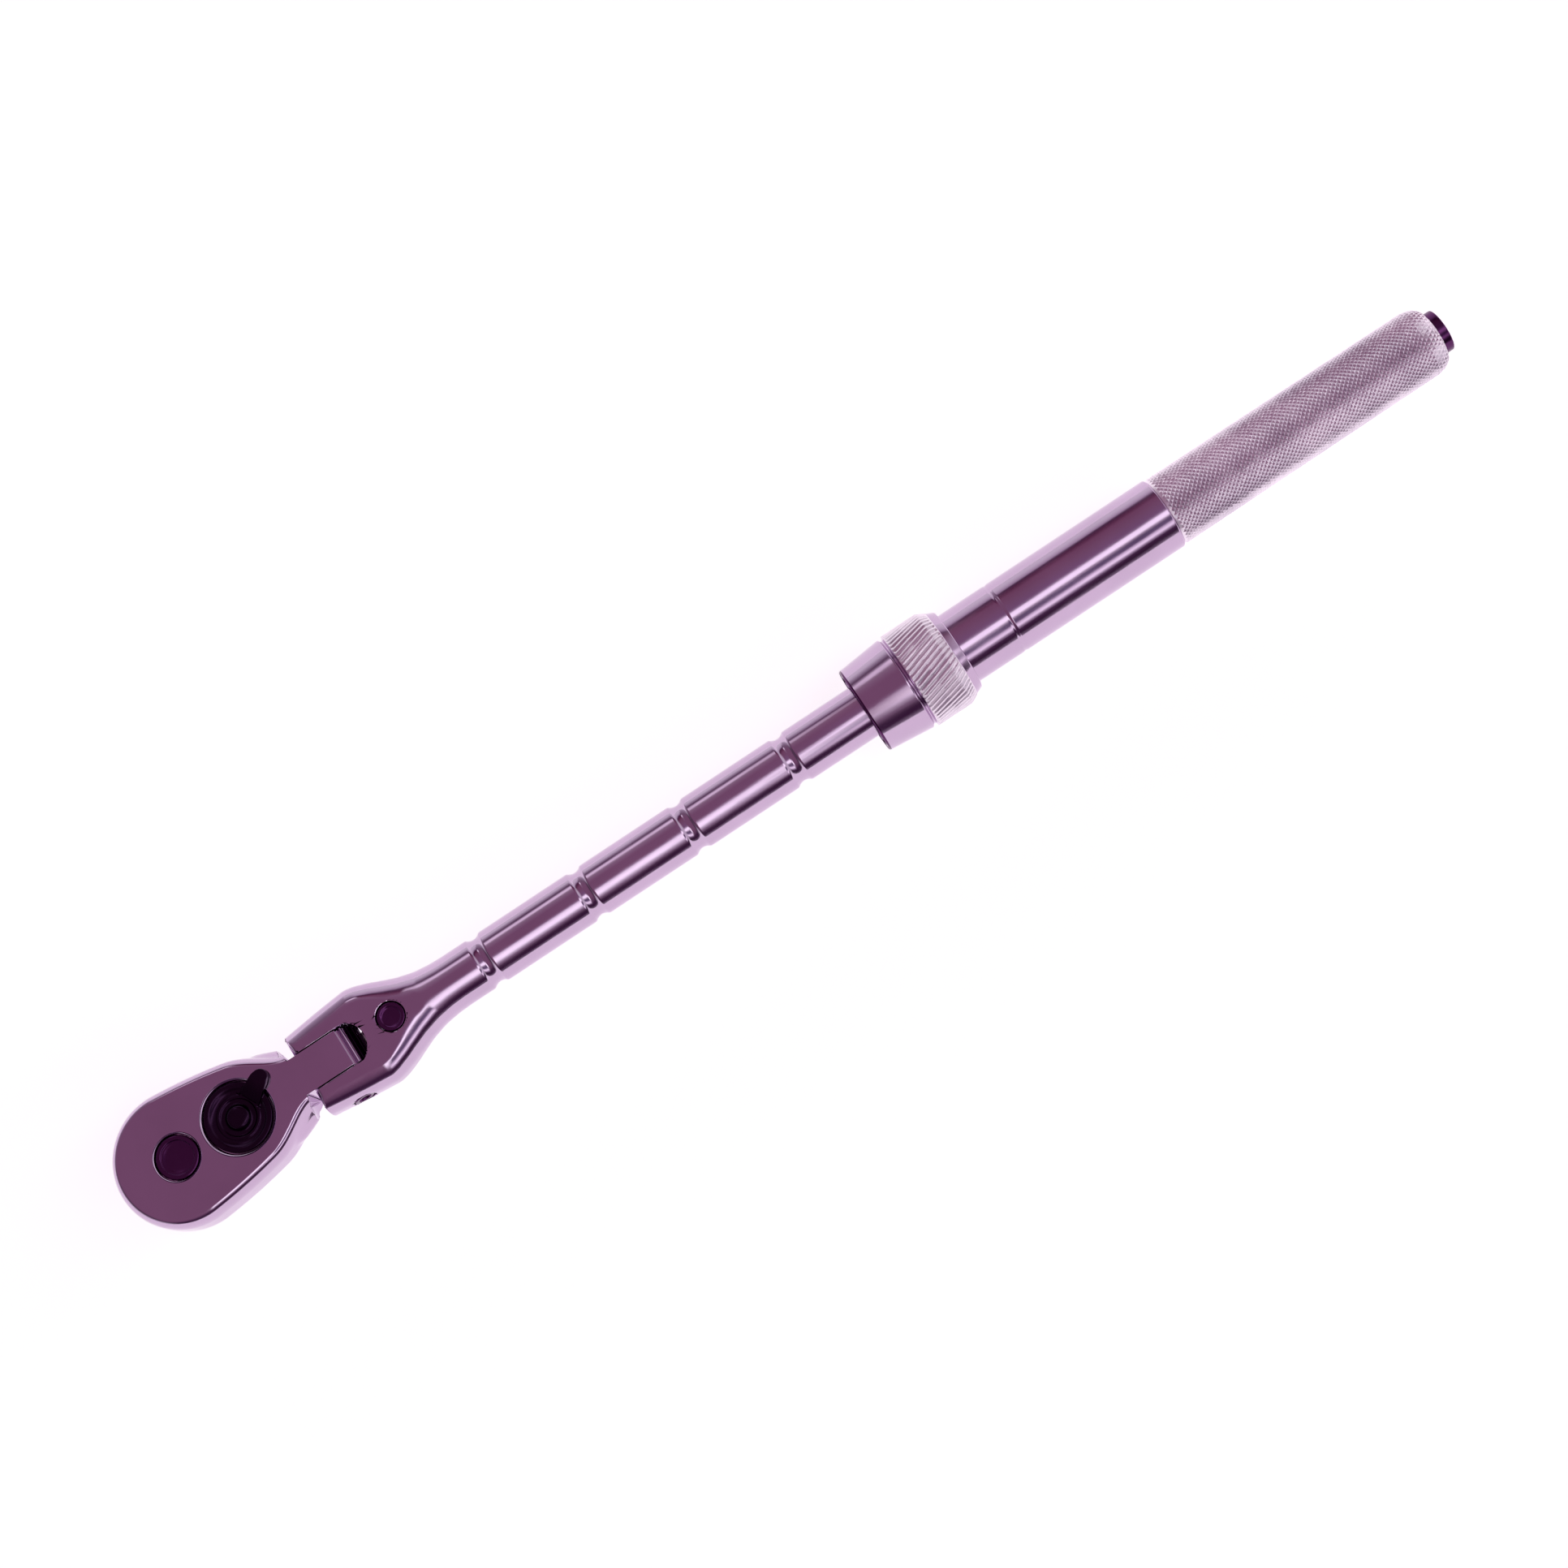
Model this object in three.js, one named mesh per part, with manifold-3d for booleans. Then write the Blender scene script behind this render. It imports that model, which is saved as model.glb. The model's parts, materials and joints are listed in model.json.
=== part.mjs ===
// Telescopic, locking flex-head ratchet wrench with a 1/2 inch square drive.
//
// Millimetres, +Z up. The origin is the middle of the square drive's end face, +X runs along the handle
// to its grip, and +Z points to the side of the reversing lever. Every group below sits on the handle's
// axis, so inside them z = 0 is the middle plane of the head, the yoke and the handle.

import * as THREE from 'three';
import { mergeVertices } from 'three/addons/utils/BufferGeometryUtils.js';
import Module from 'manifold-3d';

const wasm = await Module();
wasm.setup();

// ---------------------------------------------------------------------------- driving dimensions

const GAP = 0.3;
const ROUND = 32; // sides of a large round
const SMALL_ROUND = 16; // sides of a small round

const DRIVE_SQUARE = 12.7;
const DRIVE_LENGTH = 16;
const THICKNESS = 15.8; // head, tongue and yoke are flush
const HALF = THICKNESS / 2;
const HANDLE_Z = DRIVE_LENGTH + HALF;

const HEAD_RADIUS = 20;
const HEAD_EDGE = 2.9; // how far the barrelled side stands out from the flat faces
const GEAR_TEETH = 36;
const GEAR_RADIUS = 13.2;
const GEAR_ROOT = 11.9;
const GEAR_BOTTOM = - 4.6;
const GEAR_TOP = 3;
const CHAMBER_TOP = GEAR_TOP + 0.4;
const JOURNAL_RADIUS = 8.8;
const JOURNAL_TOP = 5.1;
const BUTTON_RADIUS = 6.35;
const BUTTON_TRAVEL = 2;
const STEM_RADIUS = 2.4;
const SOCKET_BALL_RADIUS = 2.7;
const SOCKET_BALL_PROUD = 1; // how far the ball stands out of the square
const SOCKET_BALL_TRAVEL = 0.8;
const SOCKET_BALL_Z = 7.5 - HANDLE_Z;

const LEVER_X = 20.4;
const LEVER_RADIUS = 10;
const LEVER_REACH = 15.2; // axis to the end of the thumb tab
const LEVER_ANGLE = 27;
const LEVER_SHAFT = 3;
const PAWL_ROCK = 6; // degrees each side of the line of centres
const PAWL_BOTTOM = - 4.5;
const PAWL_HUB = 6;
const PAWL_OUTER = 14.9;

const HINGE_X = 52.6;
const TONGUE_HALF = 5.7;
const TONGUE_RADIUS = 8.4;
const NOTCH_STEP = 15;
const NOTCH_REACH = 60;
const NOTCH_DEPTH = 1.2;
const PIN_RADIUS = 3.2;
const PIN_HALF = 13.9;
const EAR_X = 42.5;
const EAR_SWEEP = 14.4; // radius swept clear for the ears as the head flexes
const EAR_CORNER = 2.5;
const SLOT_HALF = TONGUE_HALF + GAP;
const SLOT_END_X = 62.8;
const SLOT_END_RADIUS = 6.6;

const LOCK_BUTTON_X = 71.8;
const LOCK_BUTTON_RADIUS = 4.1;
const LOCK_BUTTON_TRAVEL = 1.5;
const LOCK_BOLT_RADIUS = 2.9;
const LOCK_BOLT_TRAVEL = 1.2;
const LOCK_BOLT_END = 77.5;
const LOCK_BORE_END = 90;

const ROD_RADIUS = 8;
const ROD_START = 92;
const ROD_END = 283.4;
const GROOVE_FIRST_X = 102.3;
const GROOVE_PITCH = 34.3;
const GROOVES = 5;
const GROOVE_DEPTH = 0.95;
const GROOVE_ROUND = 3;

const BALL_X = GROOVE_FIRST_X + ( GROOVES - 1 ) * GROOVE_PITCH;
const BALL_RADIUS = 2.25;
const BALLS = 3;
const BALL_TRAVEL = 0.85; // from clear of the rod to seated in a groove
const COLLAR_TRAVEL = 3;
const COLLAR_FRONT = BALL_X - 9.5;
const SLEEVE_BORE = ROD_RADIUS + 0.35;
const SLEEVE_RADIUS = 9.9;
const SLEEVE_TAIL_RADIUS = 9;
const SLEEVE_END = 279.2;

const TUBE_START = BALL_X + 17;
const TUBE_RADIUS = 11;
const TUBE_BORE = SLEEVE_TAIL_RADIUS + GAP;
const CRIMP_X = 277.9;
const GRIP_START = 332;
const GRIP_RADIUS = 10.75;
const GRIP_END_RADIUS = 10.35;
const TUBE_END = 423.2;
const TUBE_END_ROUND = 5.7;
const TUBE_STEP_X = 419.6;
const CAP_RADIUS = 6.5;
const CAP_FLANGE_RADIUS = 8;
const CAP_FLANGE_START = 420.9;
const CAP_FLANGE_END = 421.8;
const CAP_END = 426;

// ---------------------------------------------------------------------------- materials

function metal( color, roughness ) {

	return new THREE.MeshStandardMaterial( { color, roughness, metalness: 1 } );

}

const chrome = metal( 0x9a7796, 0.12 );
const polishedDark = metal( 0x4a2c48, 0.2 );
const blackOxide = metal( 0x1b121b, 0.35 );
const gearSteel = metal( 0x8c8490, 0.3 );
const springSteel = metal( 0x6f6a74, 0.35 );

// ---------------------------------------------------------------------------- solids

// A closed three.js geometry as a solid that can be cut and joined.
function toSolid( geometry ) {

	const shell = geometry.clone();
	shell.deleteAttribute( 'normal' );
	shell.deleteAttribute( 'uv' );
	const merged = mergeVertices( shell, 1e-4 );
	const index = merged.index.array;
	const triangles = [];

	for ( let i = 0; i < index.length; i += 3 ) {

		const [ a, b, c ] = index.slice( i, i + 3 );
		if ( a !== b && b !== c && c !== a ) triangles.push( a, b, c );

	}

	return new wasm.Manifold( new wasm.Mesh( {
		numProp: 3,
		vertProperties: merged.attributes.position.array,
		triVerts: Uint32Array.from( triangles ),
	} ) );

}

function toGeometry( body ) {

	const { vertProperties, triVerts } = body.getMesh();
	const geometry = new THREE.BufferGeometry();
	geometry.setAttribute( 'position', new THREE.BufferAttribute( vertProperties, 3 ) );
	geometry.setIndex( new THREE.BufferAttribute( triVerts, 1 ) );
	geometry.computeVertexNormals();
	return geometry;

}

function cut( geometry, ...tools ) {

	return toGeometry( tools.reduce( ( rest, tool ) => rest.subtract( toSolid( tool ) ), toSolid( geometry ) ) );

}

function join( geometry, ...others ) {

	return toGeometry( others.reduce( ( sum, other ) => sum.add( toSolid( other ) ), toSolid( geometry ) ) );

}

function common( first, second ) {

	return toGeometry( toSolid( first ).intersect( toSolid( second ) ) );

}

// ---------------------------------------------------------------------------- geometry helpers

const radians = THREE.MathUtils.degToRad;

// Turns a geometry made along +Y so that its length runs along the named axis.
function alongAxis( geometry, axis ) {

	if ( axis === 'x' ) geometry.rotateZ( - Math.PI / 2 );
	if ( axis === 'z' ) geometry.rotateX( Math.PI / 2 );
	return geometry;

}

// A closed profile of [ radius, position ] pairs, turned about the named axis.
function turned( axis, profile, sides = ROUND ) {

	const points = profile.map( ( [ radius, position ] ) => new THREE.Vector2( radius, position ) );
	const onAxis = points[ 0 ].x === 0 && points[ points.length - 1 ].x === 0;
	if ( ! onAxis ) points.push( points[ 0 ].clone() );
	return alongAxis( new THREE.LatheGeometry( points, sides ), axis );

}

// A plain round bar along the named axis.
function bar( axis, radius, from, to, sides = ROUND ) {

	const geometry = new THREE.CylinderGeometry( radius, radius, to - from, sides );
	geometry.translate( 0, ( from + to ) / 2, 0 );
	return alongAxis( geometry, axis );

}

function block( x0, x1, y0, y1, z0, z1 ) {

	const geometry = new THREE.BoxGeometry( x1 - x0, y1 - y0, z1 - z0 );
	return geometry.translate( ( x0 + x1 ) / 2, ( y0 + y1 ) / 2, ( z0 + z1 ) / 2 );

}

// A flat shape in XY, standing from one height to another.
function plate( shape, from, to, curveSegments = 12 ) {

	const geometry = new THREE.ExtrudeGeometry( shape, { depth: to - from, bevelEnabled: false, curveSegments } );
	return geometry.translate( 0, 0, from );

}

// A flat shape in XZ, as wide as twice its half width in Y.
function sidePlate( shape, halfWidth, curveSegments = 12 ) {

	return plate( shape, - halfWidth, halfWidth, curveSegments ).rotateX( Math.PI / 2 );

}

// Points of an arc as [ first, second ] pairs about a centre, for profiles and outlines.
function arc( [ centreA, centreB ], radiusA, radiusB, fromDegrees, toDegrees, steps ) {

	return Array.from( { length: steps + 1 }, ( _, i ) => {

		const angle = radians( THREE.MathUtils.lerp( fromDegrees, toDegrees, i / steps ) );
		return [ centreA + radiusA * Math.cos( angle ), centreB + radiusB * Math.sin( angle ) ];

	} );

}

function outline( points ) {

	return new THREE.Shape( points.map( ( [ x, y ] ) => new THREE.Vector2( x, y ) ) );

}

class Helix extends THREE.Curve {

	constructor( radius, length, turns ) {

		super();
		Object.assign( this, { radius, length, turns } );

	}

	getPoint( t, target = new THREE.Vector3() ) {

		const angle = 2 * Math.PI * this.turns * t;
		return target.set( this.radius * Math.cos( angle ), this.radius * Math.sin( angle ), this.length * t );

	}

}

// A coil spring from z = 0 to z = length, measured over the wire.
function coil( meanRadius, wireRadius, length, turns, stepsPerTurn = 10 ) {

	const section = new THREE.Shape().absarc( 0, 0, wireRadius, 0, 2 * Math.PI );
	const path = new Helix( meanRadius, length - 2 * wireRadius, turns );
	const steps = Math.round( turns * stepsPerTurn );
	const spring = new THREE.ExtrudeGeometry( section, { steps, curveSegments: 3, extrudePath: path } );
	return spring.translate( 0, 0, wireRadius );

}

// An open snap ring about the named axis, with a gap of some degrees.
function snapRing( axis, inner, outer, from, to, gapDegrees ) {

	const half = gapDegrees / 2;
	const shape = outline( [
		...arc( [ 0, 0 ], outer, outer, half, 360 - half, 20 ),
		...arc( [ 0, 0 ], inner, inner, 360 - half, half, 20 ),
	] );
	const ring = plate( shape, from, to );
	return axis === 'x' ? ring.rotateY( Math.PI / 2 ) : ring;

}

function piece( name, geometry, material ) {

	const mesh = new THREE.Mesh( geometry, material );
	mesh.name = name;
	return mesh;

}

function onHandleAxis( ...meshes ) {

	const group = new THREE.Group();
	group.position.z = HANDLE_Z;
	group.add( ...meshes );
	return group;

}

// ---------------------------------------------------------------------------- head

// The flat face of the pear, from the round front to the neck. The side swells out from it.
function pearFace() {

	const radius = HEAD_RADIUS - HEAD_EDGE;
	const shape = new THREE.Shape();
	shape.moveTo( 41.5, 5.6 );
	shape.bezierCurveTo( 35, 5.6, 30, 12.4, 23, 13.8 );
	shape.quadraticCurveTo( 13, 16, radius * Math.cos( radians( 83 ) ), radius * Math.sin( radians( 83 ) ) );
	shape.absarc( 0, 0, radius, radians( 83 ), radians( 277 ) );
	shape.quadraticCurveTo( 13, - 16, 23, - 13.8 );
	shape.bezierCurveTo( 30, - 12.4, 35, - 5.6, 41.5, - 5.6 );
	return shape;

}

// The tongue seen from the side, with the lock's notches round its end.
function tongueSide() {

	const flatEnd = HINGE_X + Math.sqrt( TONGUE_RADIUS ** 2 - HALF ** 2 );
	const onTongue = ( radius, degrees ) => [
		HINGE_X + radius * Math.cos( radians( degrees ) ),
		radius * Math.sin( radians( degrees ) ),
	];
	const points = [ [ 35, - HALF ], [ flatEnd, - HALF ] ];

	for ( let angle = - NOTCH_REACH; angle <= NOTCH_REACH; angle += NOTCH_STEP ) {

		points.push( onTongue( TONGUE_RADIUS, angle - 4.8 ) );
		points.push( onTongue( TONGUE_RADIUS - NOTCH_DEPTH, angle - 3.2 ) );
		points.push( onTongue( TONGUE_RADIUS - NOTCH_DEPTH, angle + 3.2 ) );
		points.push( onTongue( TONGUE_RADIUS, angle + 4.8 ) );

	}

	points.push( [ flatEnd, HALF ], [ 35, HALF ] );
	return outline( points );

}

// The room for the rocking pawl, open to the gear's chamber.
function pawlPocket() {

	const sector = outline( [
		...arc( [ 0, 0 ], 16.5, 16.5, - 44, 44, 16 ),
		...arc( [ 0, 0 ], 10, 10, 44, - 44, 8 ),
	] );
	const hub = bar( 'z', PAWL_HUB + 0.5, - 6, CHAMBER_TOP ).translate( LEVER_X, 0, 0 );
	return join( plate( sector, - 6, CHAMBER_TOP ), hub );

}

function headBody() {

	const edgeDepth = 5.2;
	const pear = new THREE.ExtrudeGeometry( pearFace(), {
		depth: THICKNESS - 2 * edgeDepth,
		bevelThickness: edgeDepth,
		bevelSize: HEAD_EDGE,
		bevelSegments: 4,
		curveSegments: 10,
	} ).translate( 0, 0, edgeDepth - HALF );
	const neck = turned( 'x', [
		[ 0, 22 ], [ 13, 24 ], [ 14.4, 30 ], [ 12.9, 34 ], [ 11.7, 37 ], [ 10.8, 41.5 ], [ 0, 41.5 ],
	] ).scale( 1, 1, 0.54 );
	const earSweep = bar( 'y', EAR_SWEEP, - 25, 25 ).translate( HINGE_X, 0, 0 );
	const shoulders = cut( join( pear, neck ), earSweep );
	const blank = join( shoulders, sidePlate( tongueSide(), TONGUE_HALF ) );

	const leverRecess = turned( 'z', [
		[ 0, 5.3 ], [ LEVER_RADIUS + 0.4, 5.3 ], [ LEVER_RADIUS + 0.4, HALF - 0.5 ],
		[ LEVER_RADIUS + 1.4, HALF + 0.5 ], [ 0, HALF + 0.5 ],
	] );
	return cut(
		blank,
		bar( 'z', GEAR_RADIUS + 0.4, - HALF - 1, CHAMBER_TOP ),
		bar( 'z', GEAR_RADIUS + 1.2, - 7.35, - 6.3 ),
		bar( 'z', JOURNAL_RADIUS + GAP, CHAMBER_TOP - 1, JOURNAL_TOP + GAP ),
		bar( 'z', BUTTON_RADIUS + 0.35, JOURNAL_TOP, HALF + 1 ),
		pawlPocket(),
		bar( 'z', LEVER_SHAFT + GAP, CHAMBER_TOP - 1, HALF ).translate( LEVER_X, 0, 0 ),
		leverRecess.translate( LEVER_X, 0, 0 ),
		bar( 'y', PIN_RADIUS + GAP, - 8, 8 ).translate( HINGE_X, 0, 0 ),
	);

}

function coverRing() {

	const inner = JOURNAL_RADIUS + 0.7;
	const outer = GEAR_RADIUS + 0.1;
	return turned( 'z', [ [ inner, - 6.2 ], [ outer, - 6.2 ], [ outer, - 4.85 ], [ inner, - 4.85 ] ] );

}

// ---------------------------------------------------------------------------- drive

// The gear's tooth outline, grown all round by a clearance.
function gearOutline( clearance = 0 ) {

	const pitch = 360 / GEAR_TEETH;
	const widening = THREE.MathUtils.radToDeg( clearance / GEAR_RADIUS );
	const root = GEAR_ROOT + clearance;
	const tip = GEAR_RADIUS + clearance;
	const points = [];

	for ( let tooth = 0; tooth < GEAR_TEETH; tooth ++ ) {

		const corners = [ [ root, - 3.4 - widening ], [ tip, - 1.2 - widening ],
			[ tip, 1.2 + widening ], [ root, 3.4 + widening ] ];

		for ( const [ radius, offset ] of corners ) {

			const angle = radians( tooth * pitch + offset );
			points.push( [ radius * Math.cos( angle ), radius * Math.sin( angle ) ] );

		}

	}

	return outline( points );

}

// Gear, journals and square drive in one piece, bored for the release button's stem and its spring.
function driveGear() {

	const journalBottom = - HALF - GAP;
	const shapeHalf = DRIVE_SQUARE / 2;
	const tipChamfer = 0.8;
	const cornerChamfer = 1.3;
	const edge = shapeHalf - cornerChamfer;
	const square = outline( [
		[ - edge, - shapeHalf ], [ edge, - shapeHalf ], [ shapeHalf, - edge ], [ shapeHalf, edge ],
		[ edge, shapeHalf ], [ - edge, shapeHalf ], [ - shapeHalf, edge ], [ - shapeHalf, - edge ],
	] );
	const length = HANDLE_Z + journalBottom;
	const drive = new THREE.ExtrudeGeometry( square, {
		depth: length + 1,
		bevelThickness: tipChamfer,
		bevelSize: tipChamfer,
		bevelOffset: - tipChamfer,
		bevelSegments: 1,
	} ).translate( 0, 0, tipChamfer - HANDLE_Z );
	const journals = turned( 'z', [
		[ 0, journalBottom ], [ JOURNAL_RADIUS, journalBottom ], [ JOURNAL_RADIUS + 0.4, journalBottom + 0.4 ],
		[ JOURNAL_RADIUS + 0.4, GEAR_BOTTOM + 0.5 ], [ JOURNAL_RADIUS, GEAR_TOP - 0.5 ],
		[ JOURNAL_RADIUS, JOURNAL_TOP ], [ 0, JOURNAL_TOP ],
	] );
	const bore = turned( 'z', [
		[ 0, - 21.6 ], [ STEM_RADIUS + GAP, - 21.6 ], [ STEM_RADIUS + GAP, - 4 ], [ 5, - 4 ],
		[ 5, 2.4 ], [ BUTTON_RADIUS + 0.45, 2.4 ], [ BUTTON_RADIUS + 0.45, 6 ], [ 0, 6 ],
	] );
	const ballHole = bar( 'y', SOCKET_BALL_RADIUS + 0.25, - 10, 0, SMALL_ROUND ).translate( 0, 0, SOCKET_BALL_Z );
	const blank = join( drive, journals, plate( gearOutline(), GEAR_BOTTOM, GEAR_TOP ) );
	return cut( blank, bore, ballHole );

}

// A dished button on a stem whose cone lets the socket ball sink as it goes down.
function releaseButton() {

	const land = 1.6;
	const slope = SOCKET_BALL_TRAVEL / BUTTON_TRAVEL;
	const coneLength = BUTTON_TRAVEL + 0.2;
	const waist = land - slope * coneLength;
	const capBottom = 4.7;
	return turned( 'z', [
		[ 0, SOCKET_BALL_Z - 2.4 ], [ land, SOCKET_BALL_Z - 2.4 ], [ land, SOCKET_BALL_Z ],
		[ waist, SOCKET_BALL_Z + coneLength ], [ waist, SOCKET_BALL_Z + 4.7 ],
		[ STEM_RADIUS, SOCKET_BALL_Z + 5.3 ], [ STEM_RADIUS, capBottom ], [ BUTTON_RADIUS, capBottom ],
		[ BUTTON_RADIUS, 7.2 ], [ BUTTON_RADIUS - 0.4, 7.6 ], [ BUTTON_RADIUS - 1, 7.55 ],
		[ 3.6, 7.1 ], [ 0, 6.9 ],
	] );

}

function socketBall() {

	const ball = new THREE.SphereGeometry( SOCKET_BALL_RADIUS, SMALL_ROUND, 8 );
	const out = DRIVE_SQUARE / 2 + SOCKET_BALL_PROUD - SOCKET_BALL_RADIUS;
	return ball.translate( 0, - out, SOCKET_BALL_Z );

}

// ---------------------------------------------------------------------------- reversing gear

// The rocking pawl about its own axis, between its two engaged positions.
function pawl() {

	const wings = outline( [
		...arc( [ - LEVER_X, 0 ], PAWL_OUTER, PAWL_OUTER, - 38, 38, 14 ),
		...arc( [ - LEVER_X, 0 ], GEAR_ROOT, GEAR_ROOT, 38, - 38, 14 ),
	] );
	const hub = bar( 'z', PAWL_HUB, PAWL_BOTTOM, GEAR_TOP );
	const shaftHole = bar( 'z', LEVER_SHAFT + GAP, PAWL_BOTTOM - 1, GEAR_TOP + 1 );
	const plungerRoom = plate( outline( [ [ 0, 0 ], ...arc( [ 0, 0 ], 4.6, 4.6, - 48, 48, 8 ) ] ), - 2.3, 0.8 );
	const middle = bar( 'z', GEAR_RADIUS + 0.8, PAWL_BOTTOM - 1, GEAR_TOP + 1 ).translate( - LEVER_X, 0, 0 );
	const middleRelief = common( middle, block( - 12, 0, - 5.2, 5.2, PAWL_BOTTOM - 1, GEAR_TOP + 1 ) );
	let body = cut( join( plate( wings, PAWL_BOTTOM, GEAR_TOP ), hub ), shaftHole, plungerRoom, middleRelief );

	for ( let rock = - PAWL_ROCK; rock <= PAWL_ROCK; rock += 2 ) {

		const teeth = plate( gearOutline( 0.2 ), PAWL_BOTTOM - 1, GEAR_TOP + 1 );
		teeth.translate( - LEVER_X, 0, 0 ).rotateZ( radians( - rock ) );
		body = cut( body, teeth );

	}

	return body;

}

// Dished disc, shaft and thumb tab about the lever's axis, with the tab along +X.
function reverseLever() {

	const discBottom = 5.6;
	const disc = turned( 'z', [
		[ 0, - 5.8 ], [ LEVER_SHAFT - 0.4, - 5.8 ], [ LEVER_SHAFT, - 5.5 ], [ LEVER_SHAFT, discBottom ],
		[ LEVER_RADIUS, discBottom ], [ LEVER_RADIUS, 7.4 ], [ LEVER_RADIUS - 0.4, 7.8 ],
		[ LEVER_RADIUS - 1.6, 7.8 ], [ LEVER_RADIUS - 3, 6.9 ], [ 4, 6.7 ], [ 3.2, 7.9 ],
		[ 2.2, 8.2 ], [ 0, 8.2 ],
	] );
	const tabShape = outline( [
		[ 5.5, - 3.4 ], [ LEVER_REACH - 3, - 2.6 ], ...arc( [ LEVER_REACH - 2.2, 0 ], 2.2, 2.2, - 75, 75, 8 ),
		[ LEVER_REACH - 3, 2.6 ], [ 5.5, 3.4 ],
	] );
	const tab = common( plate( tabShape, 6, 10.4 ), sidePlate( outline( [
		[ 5, 6.2 ], [ LEVER_RADIUS - 0.2, 6.2 ], [ LEVER_RADIUS - 0.2, HALF + GAP ], [ 16, HALF + GAP ],
		[ 16, 9.6 ], [ 13, 10.3 ], [ 8, 8.4 ], [ 5, 6.7 ],
	] ), 6 ) );
	const clipGroove = turned( 'z', [ [ 2.4, - 5.3 ], [ 4, - 5.3 ], [ 4, - 4.75 ], [ 2.4, - 4.75 ] ] );
	const plungerHole = bar( 'x', 1.3, - 1, 5, SMALL_ROUND ).translate( 0, 0, - 0.75 );
	return cut( join( disc, tab ), clipGroove, plungerHole );

}

// ---------------------------------------------------------------------------- yoke and rod

// The forging's section along its length, as [ x, half width, half height, fullness ]. A fullness of 2 is an
// ellipse, and a larger one is squarer.
const YOKE_STATIONS = [
	[ EAR_X, 13, 8.8, 2.8 ], [ 48, 13.7, 8.85, 2.8 ], [ 56, 14.6, 8.9, 2.8 ], [ 63.5, 15.3, 9.1, 2.8 ],
	[ 66.5, 14.7, 9, 2.8 ], [ 70.5, 13.3, 8.7, 2.6 ], [ 74, 11.8, 8.35, 2.4 ], [ 78, 10.2, 8.1, 2.2 ],
	[ 83, 8.8, ROD_RADIUS, 2 ], [ 88, 8.15, ROD_RADIUS, 2 ], [ ROD_START, ROD_RADIUS, ROD_RADIUS, 2 ],
];

function grooveProfile( centre ) {

	const lift = ROD_RADIUS - GROOVE_DEPTH + GROOVE_ROUND;
	const half = THREE.MathUtils.radToDeg( Math.acos( ( lift - ROD_RADIUS ) / GROOVE_ROUND ) );
	return arc( [ lift, centre ], - GROOVE_ROUND, GROOVE_ROUND, - half, half, 5 );

}

function ringGroove( axis, inner, outer, from, to ) {

	return turned( axis, [ [ inner, from ], [ outer, from ], [ outer, to ], [ inner, to ] ] );

}

function shank() {

	const grooves = Array.from( { length: GROOVES }, ( _, i ) => grooveProfile( GROOVE_FIRST_X + i * GROOVE_PITCH ) );
	const forging = turned( 'x', [
		[ 0, EAR_X ],
		...YOKE_STATIONS.map( ( [ x, width ] ) => [ width, x ] ),
		...grooves.flat(),
		[ ROD_RADIUS, ROD_END - 0.8 ], [ ROD_RADIUS - 0.8, ROD_END ], [ 0, ROD_END ],
	] );

	const position = forging.attributes.position;

	for ( let i = 0; i < position.count; i ++ ) {

		const station = YOKE_STATIONS.find( ( [ x ] ) => Math.abs( x - position.getX( i ) ) < 0.01 );
		if ( ! station ) continue;
		const [ , width, height, fullness ] = station;
		const squared = ( share ) => Math.sign( share ) * Math.abs( share ) ** ( 2 / fullness );
		position.setY( i, width * squared( position.getY( i ) / width ) );
		position.setZ( i, height * squared( position.getZ( i ) / width ) );

	}

	const flatEnd = 82;
	const overRod = ROD_RADIUS + 1;
	const corner = EAR_X + EAR_CORNER;
	const sideView = outline( [
		...arc( [ corner, - HALF + EAR_CORNER ], EAR_CORNER, EAR_CORNER, 270, 180, 5 ),
		...arc( [ corner, HALF - EAR_CORNER ], EAR_CORNER, EAR_CORNER, 180, 90, 5 ),
		[ flatEnd, HALF ], [ flatEnd, overRod ], [ ROD_END + 1, overRod ],
		[ ROD_END + 1, - overRod ], [ flatEnd, - overRod ], [ flatEnd, - HALF ],
	] );
	const yoke = common( forging, sidePlate( sideView, 20 ) );

	const endCentre = SLOT_END_X - SLOT_END_RADIUS;
	const endHalf = THREE.MathUtils.radToDeg( Math.asin( SLOT_HALF / SLOT_END_RADIUS ) );
	const slot = outline( [
		[ 40, - SLOT_HALF ],
		...arc( [ endCentre, 0 ], SLOT_END_RADIUS, SLOT_END_RADIUS, - endHalf, endHalf, 10 ),
		[ 40, SLOT_HALF ],
	] );
	const tongueRoom = bar( 'y', TONGUE_RADIUS + 0.35, - SLOT_HALF, SLOT_HALF ).translate( HINGE_X, 0, 0 );
	const pinHole = bar( 'y', PIN_RADIUS + GAP, - 20, 20, SMALL_ROUND ).translate( HINGE_X, 0, 0 );
	const boltBore = bar( 'x', LOCK_BOLT_RADIUS + GAP, SLOT_END_X - 3, LOCK_BORE_END, SMALL_ROUND );
	const buttonBore = bar( 'z', LOCK_BUTTON_RADIUS + GAP, 2.6, 12 ).translate( LOCK_BUTTON_X, 0, 0 );
	const stemRoom = block( 66, 71.2, - 1.6, 1.6, - 5.6, 0 );
	return cut(
		yoke,
		plate( slot, - 12, 12 ),
		tongueRoom,
		pinHole,
		boltBore,
		buttonBore,
		stemRoom,
		ringGroove( 'x', 7.1, 9, 280.2, 281.9 ),
	);

}

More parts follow.
